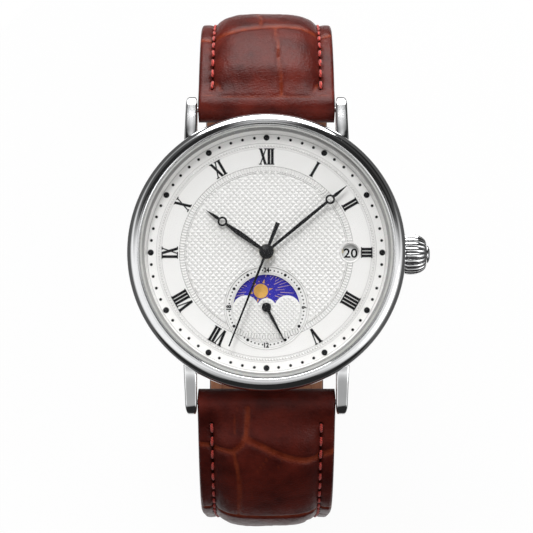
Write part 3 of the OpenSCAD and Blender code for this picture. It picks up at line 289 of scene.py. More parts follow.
class Look(Nodes):
    """A material of one Principled shader with procedural helpers; sizes are in millimetres."""

    def __init__(self, name, **constants):
        self.material = bpy.data.materials.new(name)
        self.material.use_nodes = True
        super().__init__(self.material.node_tree)
        self.surface = self.node("OutputMaterial").inputs["Surface"]
        self.shader = self.node("BsdfPrincipled", **constants)
        self.feed(self.surface, self.shader.outputs[0])
        self.place = self.node("TexCoord").outputs["Object"]

    def scaled(self, *factors):
        """The place, stretched by a factor along each axis."""
        return self.node("Mapping", Vector=self.place, Scale=factors).outputs[0]

    def noise(self, size, detail=3.0, rough=0.5, at=None):
        return self.node("TexNoise", Vector=at or self.place, Scale=1000 / size, Detail=detail,
                         Roughness=rough).outputs["Fac"]

    def cells(self, size):
        return self.node("TexVoronoi", Vector=self.place, Scale=1000 / size).outputs["Distance"]

    def spread(self, value, low=0.0, high=1.0):
        """A noise's usual range, stretched to run from low to high."""
        return self.remap(value, 0.3, 0.7, low, high)

    def mix(self, share, low, high):
        made = self.node("Mix", {"data_type": "RGBA"})
        for index, value in ((0, share), (6, low), (7, high)):
            self.feed(made.inputs[index], value)
        return made.outputs[2]

    def cloudy(self, size, detail, low, high):
        """A colour that drifts between two in soft clouds."""
        return self.mix(self.spread(self.noise(size, detail)), low, high)

    def crevice(self, reach):
        """How open a place is, down to 0 in deep corners; materials use it to paint shade into those corners.
        """
        return self.node("AmbientOcclusion", {"samples": 8}, Distance=reach * MM).outputs["AO"]

    def rounded(self, radius):
        return self.node("Bevel", {"samples": 6}, Radius=radius * MM).outputs[0]

    def coat(self, colour, roughness, height, depth, **normal):
        """Gives the shader its colour, roughness and relief, which may lie on a normal of its own."""
        bump = self.node("Bump", Height=height, Distance=depth * MM, Strength=1.0, **normal)
        for key, value in (("Base Color", colour), ("Roughness", roughness), ("Normal", bump.outputs[0])):
            self.feed(self.shader.inputs[key], value)
        return self.material


def metal(name, low, high, rough, grain=0.35, stretch=(1, 1, 1), depth=0.002, bevel=0.0):
    """A metal with slight tarnish, and fine marks that follow stretch."""
    g = Look(name, Metallic=1.0)
    marks = g.noise(grain, 5, 0.6, g.scaled(*stretch))
    edge = {"Normal": g.rounded(bevel)} if bevel else {}
    return g.coat(g.cloudy(3.0, 4, low, high), g.spread(marks, rough * 0.75, rough * 1.3),
                  marks, depth, **edge)


def plastic(name, low, high, rough):
    g = Look(name)
    grain = g.noise(0.2)
    return g.coat(g.cloudy(2.5, 3, low, high), g.spread(grain, rough * 0.85, rough * 1.2), grain, 0.01)


def lacquer(name, low, high, rough, shine=0.5):
    """Paint or print: an even coat with a faint orange peel."""
    g = Look(name, Specular_IOR_Level=shine)
    peel = g.noise(0.25, 2)
    return g.coat(g.cloudy(1.5, 3, low, high), g.spread(peel, rough * 0.8, rough * 1.25), peel, 0.002)


def leather_top(name):
    """Glossy red-brown leather: warmer in the grooves, with painted shade in crevices, pores and fine
    wrinkles.
    """
    g = Look(name)
    groove = g.node("Attribute", {"attribute_name": "groove"}).outputs["Fac"]
    cloud = g.remap(g.noise(5.0, 5, 0.6), 0.35, 0.65)
    body = g.mix(cloud, (0.051, 0.005, 0.0032), (0.118, 0.0135, 0.0075))
    warm = g.cloudy(1.2, 3, (0.135, 0.015, 0.0045), (0.235, 0.039, 0.013))
    leather = g.mix(g.remap(groove, 0.12, 0.7), body, warm)
    # Painted shade: where the leather is enclosed, its colour falls to near black and it reflects less
    crevice = g.crevice(0.9)
    wrinkle, coarse = g.noise(0.5, 4, 0.65, g.scaled(1.0, 2.6, 2.6)), g.noise(1.6, 4, 0.6)
    height = g.maths("ADD", g.maths("MULTIPLY", wrinkle, 0.6), g.maths("MULTIPLY", g.cells(0.32), 0.25))
    height = g.maths("ADD", height, g.maths("MULTIPLY", coarse, 0.5))
    g.feed(g.shader.inputs["Specular IOR Level"], g.remap(crevice, 0.5, 0.95, 0.02, 0.18))
    return g.coat(g.mix(g.remap(crevice, 0.45, 0.92), (0.01, 0.0013, 0.0009), leather),
                  g.spread(wrinkle, 0.26, 0.4), height, 0.1)


def leather_back(name):
    """Matt brown lining leather with a fibrous grain."""
    g = Look(name, Sheen_Weight=0.15, Sheen_Roughness=0.6)
    fibre = g.noise(0.25, 5, 0.7)
    return g.coat(g.cloudy(2.0, 5, (0.2, 0.075, 0.035), (0.3, 0.125, 0.06)), g.spread(fibre, 0.6, 0.85),
                  fibre, 0.05)


def thread(name):
    """Red twisted thread."""
    g = Look(name, Sheen_Weight=0.3, Sheen_Roughness=0.5)
    twist = g.node("TexWave", {"bands_direction": "DIAGONAL"}, Vector=g.place, Scale=1400.0,
                   Distortion=1.5, Detail=1.0).outputs["Fac"]
    return g.coat(g.mix(twist, (0.26, 0.015, 0.01), (0.62, 0.055, 0.036)), g.remap(twist, 0.0, 1.0, 0.5, 0.7),
                  twist, 0.05)


def dial_white(name):
    """Off-white lacquer with a silky fine grain, and painted shade in the corners of its relief."""
    g = Look(name, Specular_IOR_Level=0.45)
    grain = g.noise(0.12, 4, 0.7)
    paint = g.cloudy(6.0, 3, (0.88, 0.872, 0.855), (0.91, 0.902, 0.89))
    # Painted shade: the paint turns grey in the corners of the relief
    return g.coat(g.mix(g.remap(g.crevice(0.16), 0.5, 0.97), (0.34, 0.337, 0.33), paint),
                  g.spread(grain, 0.36, 0.52), grain, 0.003)


def disc_blue(name):
    """Royal blue print with a sparkle of fine mica."""
    g = Look(name, Specular_IOR_Level=0.15)
    mica = g.cells(0.12)
    return g.coat(g.mix(g.remap(mica, 0.0, 0.5), (0.058, 0.054, 0.52), (0.035, 0.031, 0.37)),
                  g.remap(mica, 0.0, 0.6, 0.3, 0.5), mica, 0.002)


def clear_glass(name):
    """Sapphire-clear glass that lets lamps light what lies under it."""
    g = Look(name, Transmission_Weight=1.0, IOR=1.12, Specular_IOR_Level=0.5, Roughness=0.0)
    g.feed(g.shader.inputs["Base Color"], g.mix(g.noise(30.0, 1), (0.985, 0.99, 0.99), (1.0, 1.0, 1.0)))
    clear = g.numbered("BsdfTransparent")
    g.feed(g.surface, g.mixed(g.rays("Shadow", "Diffuse"), g.shader.outputs[0], clear))
    return g.material


def polished(name):
    """Mirror steel with rounded edges and painted shade, near black, in its crevices."""
    g = Look(name, Metallic=1.0)
    marks = g.noise(0.35, 5)
    # Painted shade: the colour falls to near black in crevices
    colour = g.mix(g.remap(g.crevice(0.35), 0.5, 0.95), (0.04, 0.04, 0.042), g.cloudy(3.0, 4, *STEEL))
    return g.coat(colour, g.spread(marks, 0.06, 0.1), marks, 0.0004, Normal=g.rounded(0.14))


BRASS = ((0.78, 0.6, 0.26), (0.86, 0.7, 0.36))
STEEL = ((0.84, 0.845, 0.855), (0.9, 0.905, 0.91))

# For each of the CAD part's materials: how it is made, and with which values
SLOTS = {
    "polished_steel": (polished,),
    "buckle_steel": (metal, *STEEL, 0.1, 0.35, (1, 1, 1), 0.002, 0.25),
    "crystal_glass": (clear_glass,),
    "gasket": (plastic, (0.5, 0.5, 0.48), (0.6, 0.6, 0.58), 0.5),
    "seal_rubber": (plastic, (0.02, 0.02, 0.02), (0.04, 0.04, 0.04), 0.6),
    "dial_ivory": (dial_white,),
    "holder_plastic": (plastic, (0.78, 0.78, 0.76), (0.85, 0.85, 0.83), 0.5),
    "plate_brass": (metal, (0.74, 0.66, 0.46), (0.82, 0.74, 0.54), 0.3, 0.35, (1, 12, 1)),
    "wheel_brass": (metal, *BRASS, 0.2),
    "movement_steel": (metal, *STEEL, 0.25, 0.35, (8, 1, 1), 0.002, 0.05),
    "board": (lacquer, (0.02, 0.15, 0.06), (0.04, 0.22, 0.09), 0.35),
    "coil_copper": (metal, (0.62, 0.3, 0.14), (0.76, 0.4, 0.2), 0.25, 0.08, (14, 1, 1), 0.02),
    "step_plastic": (plastic, (0.82, 0.82, 0.8), (0.88, 0.88, 0.86), 0.4),
    "magnet": (metal, (0.28, 0.29, 0.31), (0.36, 0.37, 0.39), 0.35),
    "hand_black": (lacquer, (0.004, 0.004, 0.005), (0.008, 0.008, 0.009), 0.22, 0.22),
    "disc_blue": (disc_blue,),
    "date_white": (lacquer, (0.86, 0.86, 0.85), (0.89, 0.89, 0.88), 0.4),
    "strap_leather": (leather_top,),
    "strap_lining": (leather_back,),
}
LOOKS = {name: make(name, *values) for name, (make, *values) in SLOTS.items()}
INK = lacquer("ink", (0.006, 0.006, 0.007), (0.011, 0.011, 0.012), 0.4, 0.12)
GOLD = lacquer("gold_print", (0.62, 0.31, 0.055), (0.8, 0.46, 0.12), 0.4, 0.3)
RAYS = lacquer("gold_rays", (0.62, 0.42, 0.26), (0.74, 0.56, 0.38), 0.4, 0.3)
PALE = lacquer("moon_print", (0.8, 0.78, 0.68), (0.88, 0.86, 0.78), 0.4)
THREAD = thread("thread")
IVORY = LOOKS["dial_ivory"]

for row in frame["record"]["subparts"]:
    node = frame["nodes"][row["node"]]
    node.data.materials.clear()
    node.data.materials.append(LOOKS[row["material_slot"]])


# Dial prints and relief

PRINT_H, PRINT_FOOT, LEAF = 0.035, 0.01, 0.03
ON_DIAL = (DIAL_TOP - PRINT_FOOT, DIAL_TOP + PRINT_H)
ON_SUB = (SUB_FLOOR - PRINT_FOOT, SUB_FLOOR + PRINT_H)
ON_DISC = (DISC_TOP - PRINT_FOOT, DISC_TOP + LEAF)
# Radius and height of an hour numeral; the one beside the date window is smaller
NUMERAL, SMALL_NUMERAL = (13.85, 2.33), (14.35, 1.6)
MINUTE_R, SUB_MINUTE_R, SUB_NUMBER_R, DATE_R = 16.58, 5.36, 5.38, 12.06
BEAD_R, BEADS, COINS = 15.4, 236, 190
COIN_RING_R, CENTRE_R, SUB_R, WINDOW_X, WINDOW_R = 12.1, 11.5, 6.06, 12.0, 1.5
SUB_RELIEF_R = 4.72
# The rounds that bound the sun and moon window from below: x and y from the sub-dial's centre, and radius
LOBES = ((2.98, -0.1, 1.85), (-2.98, -0.1, 1.85), (0, 0, 1.35))


def spot(angle, r, centre=(0.0, 0.0)):
    """The point at a clock angle, in degrees from 12, and a radius about a centre."""
    a = radians(angle)
    return centre[0] + r * sin(a), centre[1] + r * cos(a)


def from_sub(x, y):
    """Distance from the sub-dial's centre."""
    return hypot(x - SUB_CENTRE[0], y - SUB_CENTRE[1])


def roman(parts, text, angle, r, h, z0, z1):
    """A Roman numeral of serifed strokes, at a clock angle with its feet to the centre."""
    bar, thin, serif, gap, over = 0.36, 0.15, 0.13, 0.13, 0.1
    widths = {"I": bar, "V": 1.0, "X": 1.05}
    x, low, high = -(sum(widths[c] for c in text) + gap * (len(text) - 1)) / 2, -h / 2, h / 2
    strokes, ends = [], (low, high - serif)

    def slant(xa, xb, w):
        strokes.append([(xa - w / 2, low), (xa + w / 2, low), (xb + w / 2, high), (xb - w / 2, high)])

    def serifs(heights, *spans):
        strokes.extend([(a, y), (b, y), (b, y + serif), (a, y + serif)] for y in heights for a, b in spans)

    for c in text:
        w = widths[c]
        if c == "I":
            slant(x + w / 2, x + w / 2, bar)
            serifs(ends, (x - over, x + w + over))
        elif c == "V":
            slant(x + w / 2, x + bar / 2, bar)
            slant(x + w / 2 + 0.05, x + w - thin / 2, thin)
            serifs(ends[1:], (x - over, x + bar + 0.12), (x + w - 0.3, x + w + 0.08))
        else:
            slant(x + w - bar / 2, x + bar / 2, bar)
            slant(x + thin / 2 + 0.05, x + w - thin / 2 - 0.05, thin)
            serifs(ends, (x - 0.08, x + bar), (x + w - bar, x + w + 0.08))
        x += w + gap
    lift = 0.0
    for stroke in strokes:
        lift += 0.0004
        parts.prism(turned([(x, y + r) for x, y in stroke], -angle), z0, z1 + lift)


def digits(parts, text, height, at, turn, z0, z1, bold, stretch):
    """Plain numbers from Blender's own font, their middle at a point, turned anticlockwise in degrees."""
    curve = bpy.data.curves.new("digits", "FONT")
    curve.body, curve.size, curve.extrude, curve.offset = text, 1.0, 0.5, bold
    curve.resolution_u = 3
    holder = add_object("digits", curve)
    drawn = holder.evaluated_get(bpy.context.evaluated_depsgraph_get())
    source = drawn.to_mesh()
    points = [tuple(v.co) for v in source.vertices]
    faces = [tuple(p.vertices) for p in source.polygons]
    drawn.to_mesh_clear()
    bpy.data.objects.remove(holder)
    bpy.data.curves.remove(curve)
    (x0, x1), (y0, y1) = ((min(values), max(values)) for values in list(zip(*points))[:2])
    k = height / (y1 - y0)
    flat = [((x - (x0 + x1) / 2) * k * stretch, (y - (y0 + y1) / 2) * k) for x, y, _ in points]
    parts.add([(*p, z0 if z < 0 else z1) for p, (_, _, z) in zip(turned(flat, turn, *at), points)], faces)


numerals = Parts()
for hour, text in enumerate(("XII", "I", "II", "III", "IIII", "V", "", "VII", "VIII", "IX", "X", "XI")):
    roman(numerals, text, hour * 30, *(SMALL_NUMERAL if hour == 3 else NUMERAL), *ON_DIAL)
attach(numerals.piece("hour_numerals", INK, smooth=False), "case")

dots = Parts()
for i in range(60):
    x, y = spot(i * 6, MINUTE_R)
    if i % 5:
        dots.disc(x, y, 0.2, *ON_DIAL, 12)
    else:
        dots.dome(x, y, ON_DIAL[1], 0.42, 0.06, 18, 3, PRINT_H + PRINT_FOOT)
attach(dots.piece("minute_dots", INK, sharp=40), "case")

# A ring of beads, and a coined edge of small ridges that stops at the date window
beads = Parts()
for i in range(BEADS):
    beads.dome(*spot(i * 360 / BEADS, BEAD_R), DIAL_TOP - 0.07, 0.185, 0.13, 8, 2)
for i in range(COINS):
    a, half = i * 360 / COINS, 0.36 * 360 / COINS
    x, y = spot(a, COIN_RING_R)
    if hypot(WINDOW_X - x, y) < 1.7:
        continue
    root = [spot(a - half, 11.74), spot(a - half, 12.44), spot(a + half, 12.44), spot(a + half, 11.74)]
    crest = [spot(a, 11.8), spot(a, 12.38)]
    beads.add([(*p, DIAL_TOP - 0.075) for p in root] + [(*p, DIAL_TOP + 0.05) for p in crest],
              [(0, 3, 2, 1), (0, 1, 5, 4), (2, 3, 4, 5), (0, 4, 3), (1, 2, 5)])
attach(beads.piece("beaded_rings", IVORY, smooth=False), "case")


def on_main(x, y):
    """From the dial's centre: clear of the hands' hub, the rim, the sub-dial and the date window."""
    return (1.0 < hypot(x, y) < CENTRE_R and from_sub(x, y) > SUB_R + 0.06
            and hypot(x - WINDOW_X, y) > WINDOW_R + 0.12)


def on_sub(x, y):
    """From the sub-dial's centre: clear of the hand's hub, the rim, and the sun and moon window."""
    margin = 0.26
    on_lobe = any(hypot(x - cx, y - cy) < r - margin for cx, cy, r in LOBES)
    return 0.6 < hypot(x, y) < SUB_RELIEF_R and (y < -margin or on_lobe)


def hobnail(parts, half, keep, centre, floor, height):
    """Rows of diamond studs of the given half diagonal, rooted in a floor, wherever keep(x, y) allows."""
    reach, d, base = int(13 / half), half * 0.985, floor - 0.005
    for i in range(-reach, reach + 1):
        for j in range(-reach, reach + 1):
            if (i + j) % 2 or not keep(i * half, j * half):
                continue
            cx, cy = centre[0] + i * half, centre[1] + j * half
            parts.add([(*p, base) for p in circle(d, 4, cx, cy)] + [(cx, cy, base + height)],
                      [(0, 1, 4), (1, 2, 4), (2, 3, 4), (3, 0, 4), (3, 2, 1, 0)])


studs = Parts()
hobnail(studs, 0.423, on_main, (0, 0), DIAL_FLOOR, 0.17)
hobnail(studs, 0.33, on_sub, SUB_CENTRE, SUB_FLOOR, 0.13)
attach(studs.piece("hobnail", IVORY, smooth=False), "case")

# Raised rims of the sub-dial, the date window and the dial's centre; the last one is open at the first two
RIM_STEPS = 180
rims = Parts()
for r0, r1, z0, z1, at in ((5.84, SUB_R, DIAL_FLOOR - 0.02, DIAL_TOP + 0.08, SUB_CENTRE),
                           (1.36, WINDOW_R, DIAL_TOP - 0.02, DIAL_TOP + 0.05, (WINDOW_X, 0)),
                           (CENTRE_R, 11.64, DIAL_FLOOR - 0.02, DIAL_TOP + 0.07, (0, 0))):
    profile = [(r0, z0), (r1, z0), (r1 - 0.05, z1), (r0 + 0.05, z1)]
    circles = [[(*p, z) for p in circle(r, RIM_STEPS, *at)] for r, z in profile]
    spans = range(RIM_STEPS)
    if at == (0, 0):
        middles = [(i + 0.5) * tau / RIM_STEPS for i in spans]
        spans = [i for i, a in enumerate(middles)
                 if 4 <= i < RIM_STEPS - 4 and from_sub(r1 * cos(a), r1 * sin(a)) > 6.2]
    rims.add(*sweep(list(zip(*circles)), loop=True, spans=spans))
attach(rims.piece("dial_rims", IVORY, sharp=30), "case")

track = Parts()
for i in range(60):
    if i % 15:
        track.disc(*spot(i * 6, SUB_MINUTE_R, SUB_CENTRE), 0.1 if i % 5 else 0.21, *ON_SUB, 10)
for text, angle, turn in (("24", 0, 0), ("6", 90, -90), ("12", 180, 0), ("18", 270, 90)):
    digits(track, text, 0.72, spot(angle, SUB_NUMBER_R, SUB_CENTRE), turn, *ON_SUB, 0.03, 0.85)
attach(track.piece("day_track", INK, smooth=False), "case")

# The ring's number 20 stands in the window at rest
dates = Parts()
for n in range(1, 32):
    a = (20 - n) * 360 / 31
    at = (DATE_R * cos(radians(a)), DATE_R * sin(radians(a)))
    digits(dates, str(n), 1.36, at, a, DATE_TOP - PRINT_FOOT, DATE_TOP + 0.02, 0.015, 1.1)
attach(dates.piece("date_numbers", INK, smooth=False), "date_ring")

# Sun, moon and stars on the disc: the sun shows in the window at rest

SUN_ANGLE, SUN_R = -18.7, 2.53
sx, sy = spot(SUN_ANGLE, SUN_R, SUB_CENTRE)
mx, my = spot(SUN_ANGLE + 180, SUN_R, SUB_CENTRE)

sun = Parts()
sun.dome(sx, sy, DISC_TOP + 0.02, 1.05, 0.035, 36, 4, 0.03)
flame = [(1.2, -0.17), (1.5, -0.03), (1.8, 0.05), (1.5, 0.12), (1.2, 0.17)]
for i in range(12):
    if i % 2:
        sun.disc(*turned([(1.38, 0.0)], i * 30 + 11, sx, sy)[0], 0.075, *ON_DISC, 10)
    else:
        sun.prism(turned(flame, i * 30 + 11, sx, sy), *ON_DISC)
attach(sun.piece("sun_print", GOLD, sharp=40), "day_night")

rays = Parts()
for i in range(48):
    angle = i * 7.5 + 4
    start, length = 2.12 + 0.35 * (i % 3), 1.3 + 0.5 * ((i * 7) % 4)
    end = start
    while end < start + length and from_sub(*turned([(end, 0.0)], angle, sx, sy)[0]) <= SUB_RELIEF_R:
        end += 0.1
    if end > start + 0.3:
        w = 0.05 + 0.015 * (i % 2)
        ray = ((start, -w * 0.6), (end, -w * 0.3), (end, w * 0.3), (start, w * 0.6))
        rays.prism(turned(ray, angle, sx, sy), ON_DISC[0], DISC_TOP + LEAF * 0.6)
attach(rays.piece("sun_rays", RAYS, smooth=False), "day_night")

moon = Parts()
moon.dome(mx, my, DISC_TOP + 0.02, 1.0, 0.035, 36, 4, 0.03)
rng = random.Random(7)
stars = 0
while stars < 22:
    r, a = 4.6 * sqrt(rng.random()), rng.uniform(-1.2, 1.2)
    x, y = spot(SUN_ANGLE + 180 + degrees(a), r, SUB_CENTRE)
    if r > 1.2 and hypot(x - mx, y - my) > 1.4:
        moon.prism([(x + tip * cos(k * pi / 4 + 0.3), y + tip * sin(k * pi / 4 + 0.3))
                    for k, tip in enumerate((0.13, 0.05) * 4)], *ON_DISC)
        stars += 1
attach(moon.piece("moon_print", PALE, sharp=40), "day_night")

# Domed caps of the hands

cap, day_cap = Parts(), Parts()
cap.dome(0, 0, HAND_TOP, 1.05, 0.27, 40, 6, 0.06)
day_cap.dome(*SUB_CENTRE, SUB_HAND_TOP, 0.6, 0.13, 30, 5, 0.03)
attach(cap.piece("hand_cap", LOOKS["hand_black"], sharp=50), "seconds")
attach(day_cap.piece("day_cap", LOOKS["hand_black"], sharp=50), "day_night")


# Strap: sizes, halves and relief. Its middle surface starts at the bar, as (y, z, slope in degrees)

START = (21.2, 2.4, 20.0)
INNER, EDGE_V, ROLL, BUCKLE_ROLL, LINING_T = 0.6, 0.9, 1.9, 1.5, 1.0
MARGIN, TIP_LEN, STRAP_W, END_W, TAPER_LEN, PAD = 2.1, 10.0, 19.8, 18.0, 75, 1.7
BAR_BORE, PIN_BORE, HOLE_R = 0.8, 0.8, 1.0
STITCH_PITCH, STITCH_LEN, STITCH_FROM = 2.2, 1.6, 2.9


def bend(angle, r):
    """The length of a bend, and how many degrees it turns in a millimetre."""
    return angle * r / (180 / pi), 180 / pi / r


def advance(p, length, rate):
    y, z, slope = p
    if rate == 0:
        return y + length * cos(radians(slope)), z - length * sin(radians(slope)), slope
    after, r = slope + rate * length, 180 / pi / rate
    return (y + r * (sin(radians(after)) - sin(radians(slope))),
            z + r * (cos(radians(after)) - cos(radians(slope))), after)


def strap_width(s):
    return STRAP_W + (END_W - STRAP_W) * min(max(s, 0) / TAPER_LEN, 1)


def padding(s):
    return PAD * ease(s / 6) * (1 - 0.8 * ease((s - 32) / 26))


class Half:
    """One half of the strap, at lengths s from its bar: bends and straights, then a straight tail."""

    def __init__(self, side, path, tail, rows_from, plain_end, grooves):
        self.side, self.path, self.buckled = side, path, side > 0
        self.length = sum(length for length, _ in path) + tail
        self.rows, self.grooves = (rows_from, self.length - plain_end), grooves
        last = self.length - (5.0 if self.buckled else 2.0) - STITCH_LEN
        self.stitches = [(s, s + STITCH_LEN) for s in steps(STITCH_FROM, last, STITCH_PITCH)]

    def along(self, s):
        """Place and slope at length s on the middle surface, which runs on straight past both ends."""
        p = START
        for length, rate in self.path:
            if s <= length:
                return advance(p, s, rate if s > 0 else 0)
            p, s = advance(p, length, rate), s - length
        return advance(p, s, 0)

    def on(self, s, x, v):
        """The point at length s, x across and v above the middle surface."""
        y, z, slope = self.along(s)
        return x, self.side * (y + v * sin(radians(slope))), z + v * cos(radians(slope))

    def half_width(self, s):
        """Half the strap's width, rounded at the bar and the tip."""
        half = strap_width(s) / 2
        if s < 0:
            half -= 0.12 * (s / ROLL) ** 4
        if not self.buckled and s > self.length - TIP_LEN:
            u, least = (s - self.length + TIP_LEN) / TIP_LEN, MARGIN + 0.9
            half = least + (END_W / 2 - least) * sqrt(max(1 - 0.999 * u * u, 0.0))
        return half

    def stitch_x(self, s):
        return self.half_width(s) - MARGIN + 0.12

    def top(self, s, x):
        """Height of the leather's face over the middle surface, without its relief."""
        half, past = self.half_width(s), s - self.length
        edge = EDGE_V + (ROLL - EDGE_V) * (1 - ease(s / 4))
        rise = padding(s)
        if self.buckled:
            edge += 0.6 * ease((past + 5) / 5)
            rise *= 1 - ease((past + 12) / 7)
        else:
            rise *= 1 - ease((past + 11) / 8)
        height = edge + rise * (1 - min(abs(x) / (half - MARGIN), 1.0) ** 4)
        valley = exp(-((abs(x) - self.stitch_x(s)) / 0.5) ** 2)
        height -= 0.16 * valley * ease((s - 1.8) / 1.3)
        corner = 0.55
        rim = abs(x) - (half - corner)
        return height - (corner - sqrt(max(corner ** 2 - rim * rim, 0.0)) if rim > 0 else 0.0)

    def rod(self, s, r):
        """A cutter across the strap at length s."""
        y, z, _ = self.along(s)
        return rod(-STRAP_W, STRAP_W, self.side * y, z, r, 28)

    def through(self, s, outline):
        """A cutter with the given outline, (x, along) about the place at length s, through the strap."""
        return Parts().add(*sweep([[self.on(s + b, a, v) for a, b in outline] for v in (-4.0, 5.0)]))

    def holes(self):
        return [self.through(self.length - 24 - 6.5 * i, circle(HOLE_R)) for i in range(7)]


# The grooves that the photograph shows: lines of points (x, s), x to its right, and each line's width
SHORT = Half(1, [bend(70, 22), bend(90, 17)], 24, 23.5, 8, [
    ([(-10, 13.9), (-7.1, 13.7), (-4.9, 13.7), (-1.4, 14.6), (1.5, 14.8), (4.9, 14.8), (6.9, 14.6),
      (10, 15.6)], 0.75),
    ([(2.2, 1.4), (2.1, 2.6), (2.0, 4.5), (1.7, 8.7), (1.4, 12.8), (1.3, 14.4)], 0.38),
    ([(-0.7, 14.9), (-0.9, 18.5), (-1.4, 23.0)], 0.4),
    ([(-10, 1.7), (-7.5, 1.3), (-4, 1.0), (0, 1.2), (4, 1.0), (7.5, 1.3), (10, 1.8)], 0.24),
    ([(-6.6, 2.2), (-7.0, 3.2), (-7.9, 4.3)], 0.3),
    ([(6.9, 2.0), (7.2, 3.1), (8.0, 4.2)], 0.3),
])
LONG = Half(-1, [bend(70, 22), (16.7, 0), bend(90, 20)], 40.5, 29.5, 3, [
    ([(-2.7, 0.4), (-2.75, 2.0), (-3.0, 4.6)], 0.5),
    ([(-4.3, 0.4), (-4.5, 2.0), (-4.5, 3.9)], 0.25),
    ([(-3.0, 4.6), (-3.8, 5.7), (-4.8, 6.5), (-6.0, 6.6), (-7.4, 6.6), (-10, 6.1)], 0.5),
    ([(-3.0, 4.6), (-1.9, 5.2), (-0.5, 5.8), (1.9, 7.0), (4.8, 8.0), (7.2, 8.2), (10, 7.3)], 0.7),
    ([(-4.8, 6.6), (-4.2, 9.5), (-3.9, 13.3), (-4.1, 20.9)], 0.42),
    ([(-2.4, 6.4), (-2.3, 9.4), (-2.2, 15.4)], 0.2),
    ([(0.3, 7.2), (-0.7, 8.8), (-1.3, 9.6)], 0.25),
    ([(2.2, 7.4), (1.7, 9.1)], 0.2),
    ([(-10, 21.4), (-6.6, 21.1), (-3.9, 20.9), (0, 20.8), (3.9, 20.7), (6.9, 21.3), (10, 21.6)], 0.6),
])


def scale_rows(start, end, seed):
    """Grooves for the rest of a half: rows of wide scales that shrink towards the end."""
    rng = random.Random(seed)
    lines, s = [], start
    while s < end:
        bow, tilt = rng.uniform(-1.0, 1.2), rng.uniform(-0.6, 0.6)
        row = [(x, s + bow * (1 - (x / 10) ** 2) + tilt * x / 10 + rng.uniform(-0.25, 0.25))
               for x in range(-10, 11, 2)]
        lines.append((row, rng.uniform(0.5, 0.7)))
        step = rng.uniform(7.0, 9.5) * (1 - 0.25 * ease((s - 30) / 60))
        for cut in sorted(rng.sample((-6.5, -4.2, -1.5, 1.2, 3.8, 6.3), 2 if rng.random() < 0.6 else 3)):
            drift = rng.uniform(-0.5, 0.5)
            line = [(cut + drift * k / 4 + rng.uniform(-0.15, 0.15), s + step * k / 4) for k in range(5)]
            lines.append((line, rng.uniform(0.3, 0.45)))
        s += step
    return lines


def smooth_line(points):
    """A finer line through the points, rounded by Catmull-Rom."""
    if len(points) < 3:
        return points
    fine, per_span = [], 5
    for i in range(len(points) - 1):
        a, b = points[max(i - 1, 0)], points[i]
        c, d = points[i + 1], points[min(i + 2, len(points) - 1)]
        for t in (k / per_span for k in range(per_span)):
            fine.append(tuple(0.5 * (2 * q + (r - p) * t + (2 * p - 5 * q + 4 * r - s) * t * t
                                     + (3 * q - p - 3 * r + s) * t ** 3) for p, q, r, s in zip(a, b, c, d)))
    return fine + [points[-1]]


class Relief:
    """How deep the grooves and the stitch holes go at a place (x, s) on a half; both are kept by length."""

    def __init__(self, half, seed):
        self.bins, self.holes = {}, {}
        for points, width in half.grooves + scale_rows(*half.rows, seed):
            fine = smooth_line(points)
            for p, q in zip(fine, fine[1:]):
                for cell in range(int(min(p[1], q[1]) - 1.5), int(max(p[1], q[1]) + 1.5) + 1):
                    self.bins.setdefault(cell, []).append((p, q, width))
        for s in (s for pair in half.stitches for s in pair):
            self.holes.setdefault(int(s), []).extend((side * half.stitch_x(s), s) for side in (-1, 1))

    def groove(self, x, s):
        """0 away from any groove, up to 1 in the bed of a full one."""
        best = 0.0
        for (ax, ay), (bx, by), width in self.bins.get(int(s), ()):
            dx, dy = bx - ax, by - ay
            t = min(max(((x - ax) * dx + (s - ay) * dy) / (dx * dx + dy * dy + 1e-9), 0), 1)
            d, reach = hypot(x - ax - t * dx, s - ay - t * dy), width * 1.15
            if d < reach:
                best = max(best, (1 - ease(d / reach)) * min(width / 0.5, 1.0))
        return best

    def hole(self, x, s):
        near = [hypot(x - hx, s - hs) for cell in (int(s) - 1, int(s), int(s) + 1)
                for hx, hs in self.holes.get(cell, ())]
        return 1 - ease(min(near, default=1.0) / 0.42)


def wrinkles(x, s, seed):
    """Broad swellings and fine creases, in millimetres."""
    broad = noise.noise(Vector((x * 0.16, s * 0.16, seed)))
    fine = noise.noise(Vector((x * 1.5, s * 0.5, seed + 9)))
    return 0.12 * broad + 0.05 * fine


def mark_grooves(piece, depths):
    """Tells the leather's material how deep in a groove each point lies."""
    mark = piece.data.attributes.new("groove", "FLOAT", "POINT")
    mark.data.foreach_set("value", depths)


